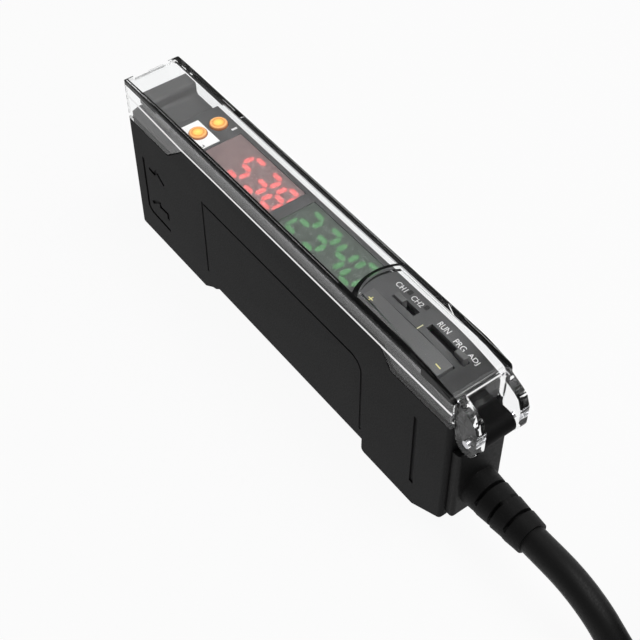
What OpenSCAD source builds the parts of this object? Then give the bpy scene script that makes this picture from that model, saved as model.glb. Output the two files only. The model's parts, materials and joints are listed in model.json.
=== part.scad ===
// Slim rail-mounted amplifier for two plastic optical fibres.
// X runs from the fibre ports to the cable, Z is up from the feet, Y is across the width.
// The origin lies on the ground under the middle of the object, without its cable.

/* [Case] */
// Width across the side faces
case_w = 10; // [9.8:0.1:11]
// Thickness of the side walls
side_wall = 1.5; // [1.4:0.05:1.6]
// Thickness of the end walls
end_wall = 1.7; // [1.5:0.1:2]
// Thickness of the floor above the rail slot
floor_t = 1.5; // [1.2:0.1:1.8]
// Height of the rim that carries the deck
rim_z = 26.5; // [26:0.1:28]
// Drop of the side walls under the cover's front skirt
front_drop = 3.9; // [3.4:0.1:4.2]
// Drop of the side walls under the cover's rear skirt
rear_drop = 2.8; // [2.4:0.1:3]
// Rounding of the upright corners
corner_r = 0.7; // [0.3:0.1:1]
// Depth of the moulded lines in the side faces
groove_d = 0.25; // [0.1:0.05:0.4]

/* [Rail slot] */
// Width of the rail that the slot takes
rail_w = 35; // [34:0.5:37]
// Space beside the rail in the slot
rail_play = 2; // [1.5:0.1:2.5]
// Length of the front foot, up to the slot's flat ceiling
front_foot = 23.3; // [22.5:0.1:24.5]
// Depth of the slot
slot_d = 2.7; // [2.5:0.1:3]
// Thickness of the rail's lip
rail_lip = 1.2; // [1:0.1:1.3]
// Reach of each hook under the rail
hook_reach = 1.1; // [0.8:0.1:1.4]
// Length of the slope at the bottom of the cable end
tail_slope_l = 6; // [5:0.2:7]
// Height of that slope
tail_slope_h = 3.4; // [3:0.1:4]
// Travel of the sprung latch
latch_travel = 2; // [1.6:0.1:2.4]

/* [Deck] */
// Length in front of the deck, taken by the clamp lever
lever_zone = 11.9; // [11.7:0.1:12.5]
// Length of the deck's lamp field
lamp_zone = 7.6; // [7.2:0.1:8]
// Length of each display window
window_l = 16.3; // [16.2:0.1:17.5]
// Width of each display window
window_w = 6.6; // [6.2:0.1:6.7]
// Space between the two windows
window_gap = 2.2; // [1.8:0.1:3]
// Length of the keypad field
keypad_l = 22.2; // [22:0.1:24]
// Space between the deck and the cable end's outer face
deck_end_gap = 1.4; // [1.3:0.05:1.7]
// Height of the deck above the rim
deck_h = 1.7; // [1.6:0.05:2]
// Thickness of the deck's top
deck_t = 1; // [0.9:0.05:1.1]
// Radius of the curve that lowers the deck towards the cable end
deck_curve_r = 40; // [36:1:60]
// Length of that curve
deck_curve_l = 10.4; // [9:0.2:11]
// Diameter of the output lamps
lamp_d = 2.9; // [2.6:0.1:3]
// Spacing of the output lamps across the deck
lamp_pitch = 3.7; // [3.5:0.1:4]

/* [Keypad] */
// Length of the rocker button
rocker_l = 16.2; // [15.6:0.1:16.8]
// Width of the rocker button
rocker_w = 2.7; // [2.5:0.1:2.8]
// Height of the rocker above the deck
rocker_rise = 0.35; // [0.25:0.05:0.5]
// Travel of the rocker when its middle is pressed
rocker_press = 0.2; // [0.1:0.05:0.2]
// Pitch of the mode switch positions
mode_pitch = 2.65; // [2.4:0.05:2.7]
// Travel of the channel switch
channel_travel = 2.2; // [1.8:0.1:2.4]
// Length of the switch knobs
knob_l = 1.8; // [1.6:0.1:2]

/* [Cover] */
// Wall of the clear cover
cover_wall = 0.7; // [0.65:0.05:0.75]
// Gap between the cover and the case
cover_gap = 0.15; // [0.12:0.01:0.18]
// Height of the cover above the deck
cover_rise = 2.25; // [2.2:0.05:2.6]
// Height of the bubble over the keypad above the cover
bubble_rise = 0.65; // [0.5:0.05:0.9]
// Radius of the bubble's front edge, seen from above
bubble_r = 7; // [6:0.2:9]
// Distance of the hinge axis beyond the cable end
pivot_out = 2.2; // [2.15:0.05:2.5]
// Depth of the hinge axis below the rim
pivot_drop = 3.9; // [3.7:0.1:4.1]
// Radius of the rounded hinge ears
ear_r = 1.9; // [1.7:0.05:1.95]
// Thickness of each hinge ear
ear_t = 1.55; // [1.4:0.05:1.6]
// Diameter of the hinge pin
hinge_pin_d = 1.2; // [1:0.1:1.4]

/* [Fibre clamp] */
// Diameter of the fibre ports
port_d = 2.3; // [2.2:0.05:2.4]
// Height of the lower fibre port
port_z = 8; // [7.8:0.1:8.4]
// Spacing of the two fibre ports
port_pitch = 7; // [6.6:0.1:7.2]
// Distance of the lever's pivot from the fibre end
lever_x = 6; // [5.9:0.1:6.3]
// Diameter of the lever's pin
lever_pin_d = 1.5; // [1.3:0.1:1.6]
// Thickness of the sliding jaw
jaw_t = 1.8; // [1.6:0.1:2]
// Travel of the sliding jaw
jaw_travel = 0.65; // [0.6:0.05:0.65]

/* [Cable] */
// Diameter of the cable
cable_d = 4.3; // [4:0.1:4.6]
// Height of the cable's axis where it leaves the case
cable_z = 9; // [8.8:0.1:9.4]
// Distance that the moulded end block stands out of the case
block_out = 1.4; // [1.2:0.1:1.8]
// Length of the ribbed strain relief
boot_l = 10.7; // [10:0.1:12]
// Diameter of the strain relief at the case
boot_d0 = 6.3; // [6:0.1:6.8]
// Diameter of the strain relief at its tip
boot_d1 = 5.4; // [5.2:0.1:5.8]
// Segments of the strain relief
boot_ribs = 4; // [3:1:5]

/* [Hidden] */
$fn = 48;
arc_steps = 5;
eps = 0.01;
over = 1;

// Clearance of pieces that slide into each other
fit = 0.05;
// Clearance of a shaft in its bearing
run_fit = 0.04;

// Lengths along the case, from the fibre end
case_l = lever_zone + lamp_zone + 2 * window_l + window_gap + keypad_l + deck_end_gap;
deck_x1 = case_l - deck_end_gap;
red_x = lever_zone + lamp_zone;
green_x = red_x + window_l + window_gap;
keypad_x = green_x + window_l;
slot_x1 = front_foot + rail_w + rail_play;
boot_x0 = case_l + block_out;
boot_x1 = boot_x0 + boot_l;
// Fibre end's outer face
front_x = -0.6;
mid_x = (boot_x1 + front_x) / 2;

// Widths from the middle plane
half_w = case_w / 2;
inner_y = half_w - side_wall;
skirt_y = half_w - cover_wall;
rim_y = skirt_y - cover_gap;

// Heights
floor_z = slot_d + floor_t;
front_top = rim_z - front_drop;
rear_top = rim_z - rear_drop;
deck_z = rim_z + deck_h;
cover_z = deck_z + cover_rise;
bubble_z = cover_z + bubble_rise;
pivot_x = case_l + pivot_out;
pivot_z = rim_z - pivot_drop;

// Steps in the top edge of the side walls, where the cover's skirts reach down
front_step_out = 0.6;
front_step_in = 4;
rear_skirt_l = 12.2;
rear_step_l = 2.2;
front_step = [lever_zone - front_step_out, lever_zone + front_step_in];
rear_step = [case_l - rear_skirt_l - rear_step_l, case_l - rear_skirt_l];

case_black = [0.17, 0.17, 0.175];
boot_black = [0.08, 0.08, 0.08];
deck_grey = [0.3, 0.3, 0.31];
clear = [0.9, 0.93, 0.95, 0.35];
steel = [0.75, 0.75, 0.77];
board_green = [0.1, 0.35, 0.2];
chip_black = [0.12, 0.12, 0.13];
amber = [0.95, 0.6, 0.15];
white = [0.93, 0.93, 0.93];

// Shared shapes

function unit(v) = v / norm(v);
function flat(p) = [p[0], p[1]];
function short_turn(a) = a > 180 ? a - 360 : (a < -180 ? a + 360 : a);

// One corner of an outline, rounded to radius r
function corner(before, at, after, r) =
    r == 0 ? [at] :
    let (
        u = unit(before - at),
        v = unit(after - at),
        half = acos(u * v) / 2,
        centre = at + unit(u + v) * r / sin(half),
        first = at + u * r / tan(half) - centre,
        last = at + v * r / tan(half) - centre,
        start = atan2(first[1], first[0]),
        sweep = short_turn(atan2(last[1], last[0]) - start)
    )
    [for (i = [0 : arc_steps])
        let (a = start + sweep * i / arc_steps)
        centre + r * [cos(a), sin(a)]];

// Outline through corners given as [x, y, rounding radius]
function outline(points) =
    let (n = len(points))
    [for (i = [0 : n - 1])
        let (before = points[(i + n - 1) % n], after = points[(i + 1) % n])
        each corner(flat(before), flat(points[i]), flat(after), points[i][2])];

function box_outline(x0, y0, x1, y1, r) = [[x0, y0, r], [x1, y0, r], [x1, y1, r], [x0, y1, r]];

// Moves a piece from fibre-end lengths to the object's own origin
module place() {
    translate([-mid_x, 0, 0]) children();
}

// Outline in X and Z, extruded across the width
module across(points, y0, y1) {
    translate([0, y1, 0]) rotate([90, 0, 0]) linear_extrude(y1 - y0) polygon(outline(points));
}

// Outline in Y and Z, extruded along the length
module along(points, x0, x1) {
    translate([x0, 0, 0]) rotate([90, 0, 90]) linear_extrude(x1 - x0) polygon(outline(points));
}

// Outline in X and Y, extruded upwards
module upright(points, z0, z1) {
    translate([0, 0, z0]) linear_extrude(z1 - z0) polygon(outline(points));
}

module block(x0, x1, y0, y1, z0, z1) {
    translate([x0, y0, z0]) cube([x1 - x0, y1 - y0, z1 - z0]);
}

module rod_y(x, z, d, y0, y1) {
    translate([x, y1, z]) rotate([90, 0, 0]) cylinder(h = y1 - y0, d = d);
}

module rod_x(y, z, d, x0, x1) {
    translate([x0, y, z]) rotate([0, 90, 0]) cylinder(h = x1 - x0, d = d);
}

// Sideways step at a point of a line that makes a stroke of half width 1, mitred at the corners
function left_of(d) = [-d[1], d[0]];
function mitre(points, i) =
    let (
        n = len(points),
        a = max(i, 1),
        b = min(i, n - 2),
        into = left_of(unit(points[a] - points[a - 1])),
        out = left_of(unit(points[b + 1] - points[b])),
        side = unit(into + out)
    )
    side / (side * into);

// Outline of a stroke of width w along a line
function stroke_outline(points, w) =
    let (n = len(points))
    concat(
        [for (i = [0 : n - 1]) points[i] + mitre(points, i) * w / 2],
        [for (i = [n - 1 : -1 : 0]) points[i] - mitre(points, i) * w / 2]
    );

// Stroke of width w through points in X and Z
module stroke(points, w, y0, y1) {
    translate([0, y1, 0]) rotate([90, 0, 0]) linear_extrude(y1 - y0) polygon(stroke_outline(points, w));
}

// Case

case_outline = [
    [front_x, 0, 1], [front_foot - 4.2, 0, 0.3], [front_foot - 2, 1.5, 0], [front_foot - 1.1, 1.8, 0],
    [front_foot, slot_d, 0], [slot_x1, slot_d, 0], [slot_x1, 0, 0.7], [case_l - tail_slope_l, 0, 0.5],
    [case_l, tail_slope_h, 0.8], [case_l, rear_top, 0.4], [rear_step[1], rear_top, 0.5],
    [rear_step[0], rim_z, 0.3], [front_step[1], rim_z, 0.3], [front_step[0], front_top, 0.3],
    [front_x, front_top, 0.5]
];

// Inner wall that stands behind the cover's skirts
rim_gap = cover_gap + 0.1;
rim_x0 = front_x + cover_wall + rim_gap;
rim_x1 = case_l - 1;
rim_outline = [
    [rim_x0, front_top - over, 0], [rim_x0, front_top + 1.4, 0], [rim_x0 + 2.25, rim_z, 0],
    [rim_x1 - 1, rim_z, 0], [rim_x1, rim_z - 1, 0], [rim_x1, rear_top - over, 0]
];

// Side wall between y0 and y1, with its upper ends set in behind the skirts
module case_slice(y0, y1) {
    intersection() {
        across(case_outline, y0, y1);
        upright(box_outline(front_x, -half_w, case_l, half_w, corner_r), -over, rim_z + over);
    }
    across(rim_outline, max(y0, -rim_y), min(y1, rim_y));
}

// Hinge knuckle at the cable end
ear_gap = 0.15;
knuckle_half = half_w - 0.6 - ear_t - ear_gap;
knuckle_r = ear_r - 0.15;
module knuckle() {
    difference() {
        union() {
            block(case_l - end_wall, pivot_x, -knuckle_half, knuckle_half,
                pivot_z - knuckle_r, pivot_z + knuckle_r);
            rod_y(pivot_x, pivot_z, 2 * knuckle_r, -knuckle_half, knuckle_half);
        }
        rod_y(pivot_x, pivot_z, hinge_pin_d + 2 * run_fit, -knuckle_half - over, knuckle_half + over);
    }
}

// Rail hooks: a fixed rib at the cable side, and a T-shaped channel for the latch in the front foot
hook_top = slot_d - rail_lip;
hook_bottom = 0.25;
latch_floor_x = 3;
spring_solid = 3;
latch_x0 = latch_floor_x + latch_travel + spring_solid;
latch_x1 = slot_x1 - rail_w - 0.1 + hook_reach;
latch_half = 1.7;
latch_flange_half = 2.6;
latch_flange_h = 0.9;
latch_gap = 0.12;
module latch_channel() {
    throat = latch_half + latch_gap;
    wide = latch_flange_half + latch_gap;
    block(latch_floor_x, front_foot + over, -throat, throat, -over, hook_top + latch_gap);
    block(latch_floor_x, front_foot + over, -wide, wide,
        hook_top - latch_gap, hook_top + latch_flange_h + latch_gap);
}

// Fibre ports
block_x0 = end_wall + 0.5;
block_x1 = 16.4;
block_top = port_z + port_pitch + 3.6;
nose_half = 2.6;
nose_z0 = port_z - 3;
nose_z1 = port_z + port_pitch + 3;

// Cable end block
neck_half_y = inner_y - 0.3;
neck_z0 = cable_z - 3.2;
neck_z1 = cable_z + 7.6;

// Boards
board_t = 1;
board_y = -2.6;
board_x0 = block_x1 + 1.6;
board_x1 = case_l - 3.4;
board_top = rim_z - 3;
ledge_z = rim_z - 2.5;
ledge_h = 1.2;
ledge_w = 0.5;
ledge_x = [lever_zone + 1.2, case_l - end_wall - 1];
display_z = ledge_z + board_t;
peg_x = [board_x0 + 6, board_x1 - 6.5];
peg_z = 14;
peg_d = 1.4;

// Lever pivot
lever_z = front_top - 2.1;
pin_seat = 0.8;

// Lines moulded in the side faces: the frame's edges, and an arrow at each fibre port
front_line = [[2.75, 16.3], [2.75, 5.7], [3.6, 4.95], [9.1, 4.6]];
rear_line_in = 6.5;
rear_line_z = [4.7, 19.5];
upper_arrow = [[4.3, 15.1], [5.8, 14.9], [6.6, 15.9], [8.7, 14.4]];
lower_arrow = [[4.1, 7.4], [6.6, 9.3], [6.7, 8.2], [8.85, 8.3], [8.9, 7]];
line_w = 0.6;
rear_line_w = 0.8;
module engraved_lines(y0, y1, with_arrows) {
    rear_line_x = case_l - rear_line_in;
    stroke(front_line, line_w, y0, y1);
    stroke([for (z = rear_line_z) [rear_line_x, z]], rear_line_w, y0, y1);
    if (with_arrows) {
        stroke(upper_arrow, line_w, y0, y1);
        stroke(lower_arrow, line_w, y0, y1);
    }
}

// Fine line round the upper edge of the blank panel in the near side
panel_x = [20.4, 59.8];
panel_z = [4.6, 19.6];
panel_r = 2.5;
panel_line = 0.42;
module panel_outline() {
    arc = corner([panel_x[0], panel_z[1]], [panel_x[1], panel_z[1]], [panel_x[1], panel_z[0]], panel_r);
    stroke(concat([[panel_x[0], panel_z[0]], [panel_x[0], panel_z[1]]], arc, [[panel_x[1], panel_z[0]]]),
        panel_line, -half_w - over, -half_w + groove_d / 2);
}

module case_body() {
    color(case_black) place() {
        difference() {
            union() {
                case_slice(-half_w, inner_y);
                knuckle();
                block(slot_x1 - hook_reach, slot_x1 + eps, -inner_y, inner_y, hook_bottom, hook_top);
            }
            block(end_wall, case_l - end_wall, -inner_y, inner_y + over, floor_z, rim_z + over);
            block(front_x - over, end_wall + over, -nose_half - fit, nose_half + fit,
                nose_z0 - fit, nose_z1 + fit);
            block(case_l - end_wall - over, case_l + over, -neck_half_y - fit, inner_y + over,
                neck_z0 - fit, neck_z1 + fit);
            rod_y(lever_x, lever_z, lever_pin_d + 2 * run_fit, -inner_y - pin_seat, 0);
            latch_channel();
            engraved_lines(-half_w - over, -half_w + groove_d, true);
            panel_outline();
        }
        for (x = peg_x) {
            rod_y(x, peg_z, peg_d + 1.2, -inner_y - eps, board_y);
            rod_y(x, peg_z, peg_d, -inner_y - eps, board_y + board_t + 0.4);
        }
        block(ledge_x[0], ledge_x[1], -inner_y - eps, -inner_y + ledge_w, ledge_z - ledge_h, ledge_z);
    }
}

lip_t = 0.6;
module side_cover() {
    color(case_black) place() difference() {
        union() {
            case_slice(inner_y, half_w);
            block(board_x0, neck_x0 - 0.3, inner_y - lip_t, inner_y + eps, floor_z + fit, floor_z + 1.2);
            block(ledge_x[0], ledge_x[1], inner_y - ledge_w, inner_y + eps, ledge_z - ledge_h, ledge_z);
        }
        rod_y(lever_x, lever_z, lever_pin_d + 2 * run_fit, 0, inner_y + pin_seat);
        engraved_lines(half_w - groove_d, half_w + over, false);
    }
}

// Clear cover

cover_nose_z = cover_z - 0.45;
cover_ramp = 10;
cover_tail_x = case_l - 5.4;
cover_tail_z = cover_z - 0.35;
cover_end_x = case_l + 0.2;
cover_end_z = cover_z - 1.15;

// Upper line of the cover's side view, drawn in by wall t, from the fibre end to the cable end
function cover_line(t) = [
    [front_x + t, cover_nose_z - t * 0.8, t == 0 ? 0.6 : 0.3], [cover_ramp, cover_z - t, 3],
    [cover_tail_x - 4.5, cover_z - t, 0], [cover_tail_x, cover_tail_z - t, 8],
    [cover_end_x - 0.3 - t, cover_end_z - t, 0.9]
];

// Lower line of the skirts, back from the cable end
skirt_line = [
    [cover_end_x, rear_top + cover_gap, 0.5], [rear_step[1] + cover_gap, rear_top + cover_gap, 0.3],
    [rear_step[0] + cover_gap, rim_z + cover_gap, 0.3], [front_step[1] - cover_gap, rim_z + cover_gap, 0.3],
    [front_step[0] - cover_gap, front_top + cover_gap, 0.3], [front_x, front_top + cover_gap, 0.3]
];

// Open underside of the space inside the cover
hollow_line = [
    [cover_end_x - cover_wall, front_top - over, 0], [front_x + cover_wall, front_top - over, 0]
];

// Raised bubble over the keypad, drawn in by wall t
bubble_x = keypad_x + 1.2;
module bubble(t) {
    slope = 0.6;
    intersection() {
        across([
            [keypad_x - 5, cover_z - 2, 0], [keypad_x - 5, bubble_z - t, 0],
            [keypad_x + 5.7, bubble_z - t, 0], [cover_tail_x, cover_tail_z + 0.05 - t, 8],
            [cover_end_x - 0.6 - t, cover_end_z - t, 0], [cover_end_x - 0.6 - t, cover_z - 3, 0]
        ], -half_w, half_w);
        union() {
            translate([bubble_x + bubble_r, 0, cover_z - 2])
                cylinder(h = bubble_z - cover_z + 3, r1 = bubble_r - t + slope, r2 = bubble_r - t - 0.3);
            block(bubble_x + bubble_r, case_l + over, -half_w, half_w, cover_z - 2, bubble_z + over);
        }
    }
}

// Cross section that rounds the cover's long top edges
module cover_section(t) {
    w = half_w - t;
    edge = cover_z - t;
    crown = bubble_z - t + 0.1;
    along([
        [-w, front_top - over, 0], [w, front_top - over, 0], [w, edge, 0.5], [w - 0.6, edge + 0.03, 0],
        [w - 0.9, crown, 0], [-w + 0.9, crown, 0], [-w + 0.6, edge + 0.03, 0], [-w, edge, 0.5]
    ], front_x - over, case_l + 2 * over);
}

// Hinge ear between y0 and y1
ear_top = cover_end_z + 0.05;
end_wall_z = rim_z - 1.2;
module ear(y0, y1) {
    difference() {
        union() {
            across([
                [cover_end_x - cover_wall, end_wall_z, 0], [cover_end_x - cover_wall, ear_top, 0],
                [pivot_x + 0.3, ear_top - 1.3, 0], [pivot_x + 1.2, ear_top - 1.9, 0],
                [pivot_x + ear_r, ear_top - 3.7, 0], [pivot_x + ear_r, pivot_z, 0],
                [pivot_x - ear_r, pivot_z, 0]
            ], y0, y1);
            rod_y(pivot_x, pivot_z, 2 * ear_r, y0, y1);
        }
        rod_y(pivot_x, pivot_z, hinge_pin_d + 2 * run_fit, y0 - over, y1 + over);
    }
}

notch_half = 3.3;
notch_d = 1;
// Lifting tab in that notch
tab_y = [-0.4, 2.3];
tab_h = 0.45;
module dust_cover() {
    ear_y1 = half_w - 0.6;
    ear_y0 = ear_y1 - ear_t;
    color(clear) place() {
        difference() {
            intersection() {
                union() {
                    across(concat(cover_line(0), skirt_line), -half_w, half_w);
                    bubble(0);
                }
                cover_section(0);
                upright(box_outline(front_x, -half_w, cover_end_x, half_w, corner_r), 0, bubble_z + over);
            }
            intersection() {
                union() {
                    across(concat(cover_line(cover_wall), hollow_line), -skirt_y, skirt_y);
                    bubble(cover_wall);
                }
                cover_section(cover_wall);
            }
            block(cover_end_x - cover_wall - over, cover_end_x + over, -skirt_y, skirt_y,
                front_top - 2 * over, end_wall_z);
            difference() {
                block(front_x - over, front_x + cover_wall + 0.3, -notch_half, notch_half,
                    cover_nose_z - notch_d, bubble_z);
                block(front_x - 2 * over, front_x + cover_wall + 1, tab_y[0], tab_y[1],
                    cover_nose_z - notch_d - over, cover_nose_z - notch_d + tab_h);
            }
        }
        ear(ear_y0, ear_y1);
        ear(-ear_y1, -ear_y0);
    }
}

module hinge_pin() {
    pin_half = half_w - 0.65;
    color(steel) place() rod_y(pivot_x, pivot_z, hinge_pin_d, -pin_half, pin_half);
}

// Fibre clamp

jaw_x = lever_x + 3.1;
jaw_half = 2.3;
jaw_gap = 0.15;
jaw_z0 = nose_z0 + 0.4;
jaw_hole_d = port_d + 1.3;
jaw_hole_drop = jaw_travel - 0.15;
jaw_window = [lever_z - 0.7, lever_z + 0.7];
lever_half = 3.9;
stem_half = inner_y - 0.2;
hub_r = 1.6;
grip_x = [3.3, 6.5];
grip_top = deck_z + 1.05;
lever_bed = rim_z + 0.25;
lever_back = lever_zone - 1;

module clamp_lever() {
    color(case_black) place() difference() {
        union() {
            across([
                [grip_x[0] - 0.3, lever_bed + 0.65, 0.2], [lever_x, lever_bed, 0],
                [lever_back, lever_bed, 0.1], [lever_back, lever_bed + 0.5, 0.2],
                [grip_x[1], lever_bed + 0.5, 0.5], [grip_x[1], grip_top, 0.5], [grip_x[0], grip_top, 0.5]
            ], -lever_half, lever_half);
            across([
                [grip_x[0] + 0.2, lever_bed + 0.7, 0], [lever_x - hub_r, lever_z, 0],
                [lever_x + hub_r, lever_z, 0], [lever_x + hub_r, lever_z + 3, 0],
                [lever_back - 0.5, lever_bed + 0.2, 0]
            ], -stem_half, stem_half);
            rod_y(lever_x, lever_z, 2 * hub_r, -stem_half, stem_half);
            block(lever_x, jaw_x + jaw_t / 2 + 0.5, -1.1, 1.1, lever_z - 0.4, lever_z + 0.4);
        }
        rod_y(lever_x, lever_z, lever_pin_d + 2 * run_fit, -stem_half - over, stem_half + over);
    }
}

module clamp_pin() {
    seat = inner_y + pin_seat - fit;
    color(steel) place() rod_y(lever_x, lever_z, lever_pin_d, -seat, seat);
}

module clamp_jaw() {
    color(chip_black) place() difference() {
        block(jaw_x - jaw_t / 2, jaw_x + jaw_t / 2, -jaw_half, jaw_half, jaw_z0, jaw_window[1] + 1.2);
        for (i = [0, 1]) {
            rod_x(0, port_z + i * port_pitch - jaw_hole_drop, jaw_hole_d, jaw_x - jaw_t, jaw_x + jaw_t);
        }
        block(jaw_x - jaw_t, jaw_x + jaw_t, -1.3, 1.3, jaw_window[0], jaw_window[1]);
    }
}

sensor_d = 3.8;
sensor_x = block_x1 - 3.2;
funnel_l = 0.6;
module fibre_block() {
    color(chip_black) place() difference() {
        union() {
            block(block_x0, block_x1, -inner_y, inner_y, floor_z, block_top);
            block(front_x, block_x0 + eps, -nose_half, nose_half, nose_z0, nose_z1);
        }
        for (i = [0, 1]) {
            z = port_z + i * port_pitch;
            rod_x(0, z, port_d, front_x - over, sensor_x + eps);
            translate([front_x - eps, 0, z]) rotate([0, 90, 0])
                cylinder(h = funnel_l, d1 = port_d + 1.2, d2 = port_d);
            rod_x(0, z, sensor_d + 2 * fit, sensor_x, block_x1 + over);
        }
        block(jaw_x - jaw_t / 2 - jaw_gap, jaw_x + jaw_t / 2 + jaw_gap,
            -jaw_half - jaw_gap, jaw_half + jaw_gap, jaw_z0 - jaw_gap, block_top + over);
    }
}

module port_gasket() {
    color(boot_black) place() difference() {
        block(end_wall, block_x0, -inner_y + fit, inner_y - fit, floor_z + fit, block_top);
        block(end_wall - over, block_x0 + over, -nose_half - fit, nose_half + fit,
            nose_z0 - fit, nose_z1 + fit);
    }
}

// Light source or detector at the end of a port, with its two legs on the board
module sensor(z) {
    leg_d = 0.5;
    leg_y = board_y + board_t + leg_d / 2;
    rod_x(0, z, sensor_d, sensor_x + 0.2, block_x1);
    for (side = [-1, 1]) {
        rod_x(leg_y, z + side * 0.7, leg_d, block_x1 - eps, board_x0 + 2);
    }
}

module emitter_led() {
    color([0.85, 0.2, 0.2]) place() sensor(port_z + port_pitch);
}

module receiver_diode() {
    color(chip_black) place() sensor(port_z);
}

// Boards and their components

module main_board() {
    color(board_green) place() difference() {
        block(board_x0, board_x1, board_y, board_y + board_t, floor_z, board_top);
        for (x = peg_x) {
            rod_y(x, peg_z, peg_d + 2 * fit, board_y - over, board_y + board_t + over);
        }
    }
}

display_x0 = lever_zone + 0.9;
display_x1 = case_l - end_wall - 0.8;
display_half = inner_y - 0.1;
module display_board() {
    color(board_green) place()
        block(display_x0, display_x1, -display_half, display_half, ledge_z, display_z);
}

header_x = green_x + 2;
header_pins = 6;
header_pitch = 2;
module board_header() {
    face = board_y + board_t;
    row_l = header_pitch * (header_pins - 1);
    color(chip_black) place() {
        block(header_x - 1, header_x + row_l + 1, face, face + 2, board_top - 2.5, board_top - 0.5);
        for (i = [0 : header_pins - 1]) {
            translate([header_x + i * header_pitch, face + 1, board_top - 1])
                cylinder(h = ledge_z - board_top + 1, d = 0.5);
        }
    }
}

// Part of height h on the board's face, with its lower corner at [x, z]
module on_board(x, z, l, w, h) {
    face = board_y + board_t;
    block(x, x + l, face, face + h, z, z + w);
}

chip_l = 8;
chip_h = 1.2;
chip_z = 9;
module microcontroller() {
    color(chip_black) place() on_board(green_x - chip_l / 2, chip_z, chip_l, chip_l, chip_h);
}

inductor_l = 5;
inductor_h = 3;
inductor_z = 10;
module power_inductor() {
    color([0.35, 0.35, 0.37]) place()
        on_board(keypad_x - inductor_h, inductor_z, inductor_l, inductor_l, inductor_h);
}

capacitor_d = 3.8;
capacitor_h = 7;
capacitor_z = 1.4;
capacitor_places = [8, 12.5];
module filter_capacitors() {
    color([0.3, 0.32, 0.4]) place() {
        for (x = capacitor_places) {
            translate([board_x0 + x, board_y + board_t + capacitor_d / 2, floor_z + capacitor_z])
                cylinder(h = capacitor_h, d = capacitor_d);
        }
    }
}

transistor_z = [15, 18.5];
transistor_size = [2.9, 1.6, 1.1];
transistor_in = 12;
module output_transistors() {
    color(chip_black) place() {
        for (z = transistor_z) {
            on_board(board_x1 - transistor_in, z, transistor_size[0], transistor_size[1], transistor_size[2]);
        }
    }
}

core_d = 0.9;
core_count = 5;
core_pitch = 1.2;
module cable_cores() {
    y = board_y + board_t + core_d / 2;
    color([0.6, 0.45, 0.3]) place() {
        for (i = [0 : core_count - 1]) {
            rod_x(y, cable_z + (i - (core_count - 1) / 2) * core_pitch, core_d, board_x1 - 5, neck_x0);
        }
    }
}

// Deck and displays

// Height of the deck's top at x
function deck_top(x) =
    let (run = max(0, x - deck_x1 + deck_curve_l))
    deck_z - run * run / (2 * deck_curve_r);
deck_curve = [for (i = [0 : 8]) deck_x1 - deck_curve_l + deck_curve_l * i / 8];

// Side view of the deck, lowered by t and shortened by s at both ends
function deck_outline(t, s, bottom) = concat(
    [[deck_x1 - s, bottom, 0], [lever_zone + s, bottom, 0], [lever_zone + s, deck_z - t, t == 0 ? 0.2 : 0]],
    [for (x = deck_curve) [min(x, deck_x1 - s), deck_top(min(x, deck_x1 - s)) - t, 0]]
);

lamp_x = lever_zone + 3.8;
lens_t = 0.65;
lens_sink = 0.05;
lens_ledge = 0.35;
deck_inner = inner_y - 0.1;
rocker_lead = 10.2;
rocker_x = keypad_x + rocker_lead;
rocker_y = -1.85;
rocker_gap = 0.2;
switch_y = 1.3;
slot_half = 0.55;
mode_lead = 17.8;
mode_x1 = keypad_x + mode_lead;
mode_x0 = mode_x1 - 2 * mode_pitch;
channel_lead = 5.5;
channel_x0 = keypad_x + channel_lead;
knob_gap = 0.25;

module window_cut(x) {
    half = window_w / 2;
    block(x - fit, x + window_l + fit, -half - fit, half + fit, deck_z - lens_t - lens_sink, deck_z + over);
    block(x + lens_ledge, x + window_l - lens_ledge, -half + lens_ledge, half - lens_ledge,
        deck_z - deck_t - over, deck_z + over);
}

// Slot for a knob whose centre runs from x0 to x1
module knob_slot(x0, x1) {
    block(x0 - knob_l / 2 - knob_gap, x1 + knob_l / 2 + knob_gap,
        switch_y - slot_half, switch_y + slot_half, rim_z, deck_z + over);
}

module display_deck() {
    color(deck_grey) place() difference() {
        across(deck_outline(0, 0, rim_z), -rim_y, rim_y);
        across(deck_outline(deck_t, 0.8, rim_z - over), -deck_inner, deck_inner);
        window_cut(red_x);
        window_cut(green_x);
        for (side = [-1, 1]) {
            translate([lamp_x, side * lamp_pitch / 2, rim_z])
                cylinder(h = deck_h + over, d = lamp_d + 2 * fit);
        }
        block(rocker_x - rocker_l / 2 - rocker_gap, rocker_x + rocker_l / 2 + rocker_gap,
            rocker_y - rocker_w / 2 - rocker_gap, rocker_y + rocker_w / 2 + rocker_gap,
            rim_z, deck_z + over);
        knob_slot(channel_x0, channel_x0 + channel_travel);
        knob_slot(mode_x0, mode_x1);
    }
}

module lens(x) {
    upright(box_outline(x, -window_w / 2, x + window_l, window_w / 2, 0.2),
        deck_z - lens_t - lens_sink, deck_z - lens_sink);
}

module red_window() {
    color([0.55, 0.3, 0.3, 0.6]) place() lens(red_x);
}

module green_window() {
    color([0.3, 0.42, 0.33, 0.6]) place() lens(green_x);
}

digits = 4;
digit_margin = 0.75;
digit_space = 1.1;
digit_lead = 0.2;
digit_edge = 0.9;
digit_pitch = (window_l - 2 * digit_margin) / digits;
digit_w = digit_pitch - digit_space;
digit_h = window_w - 2 * digit_edge;
digit_slant = 0.09;
segment_w = 0.62;
segment_gap = 0.1;
segment_t = 0.2;
digit_x0 = digit_margin + digit_lead;
display_gap = 0.1;
module_top = deck_z - deck_t - 0.1;

function slanted(p) = [p[0] + digit_slant * p[1], p[1]];

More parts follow.
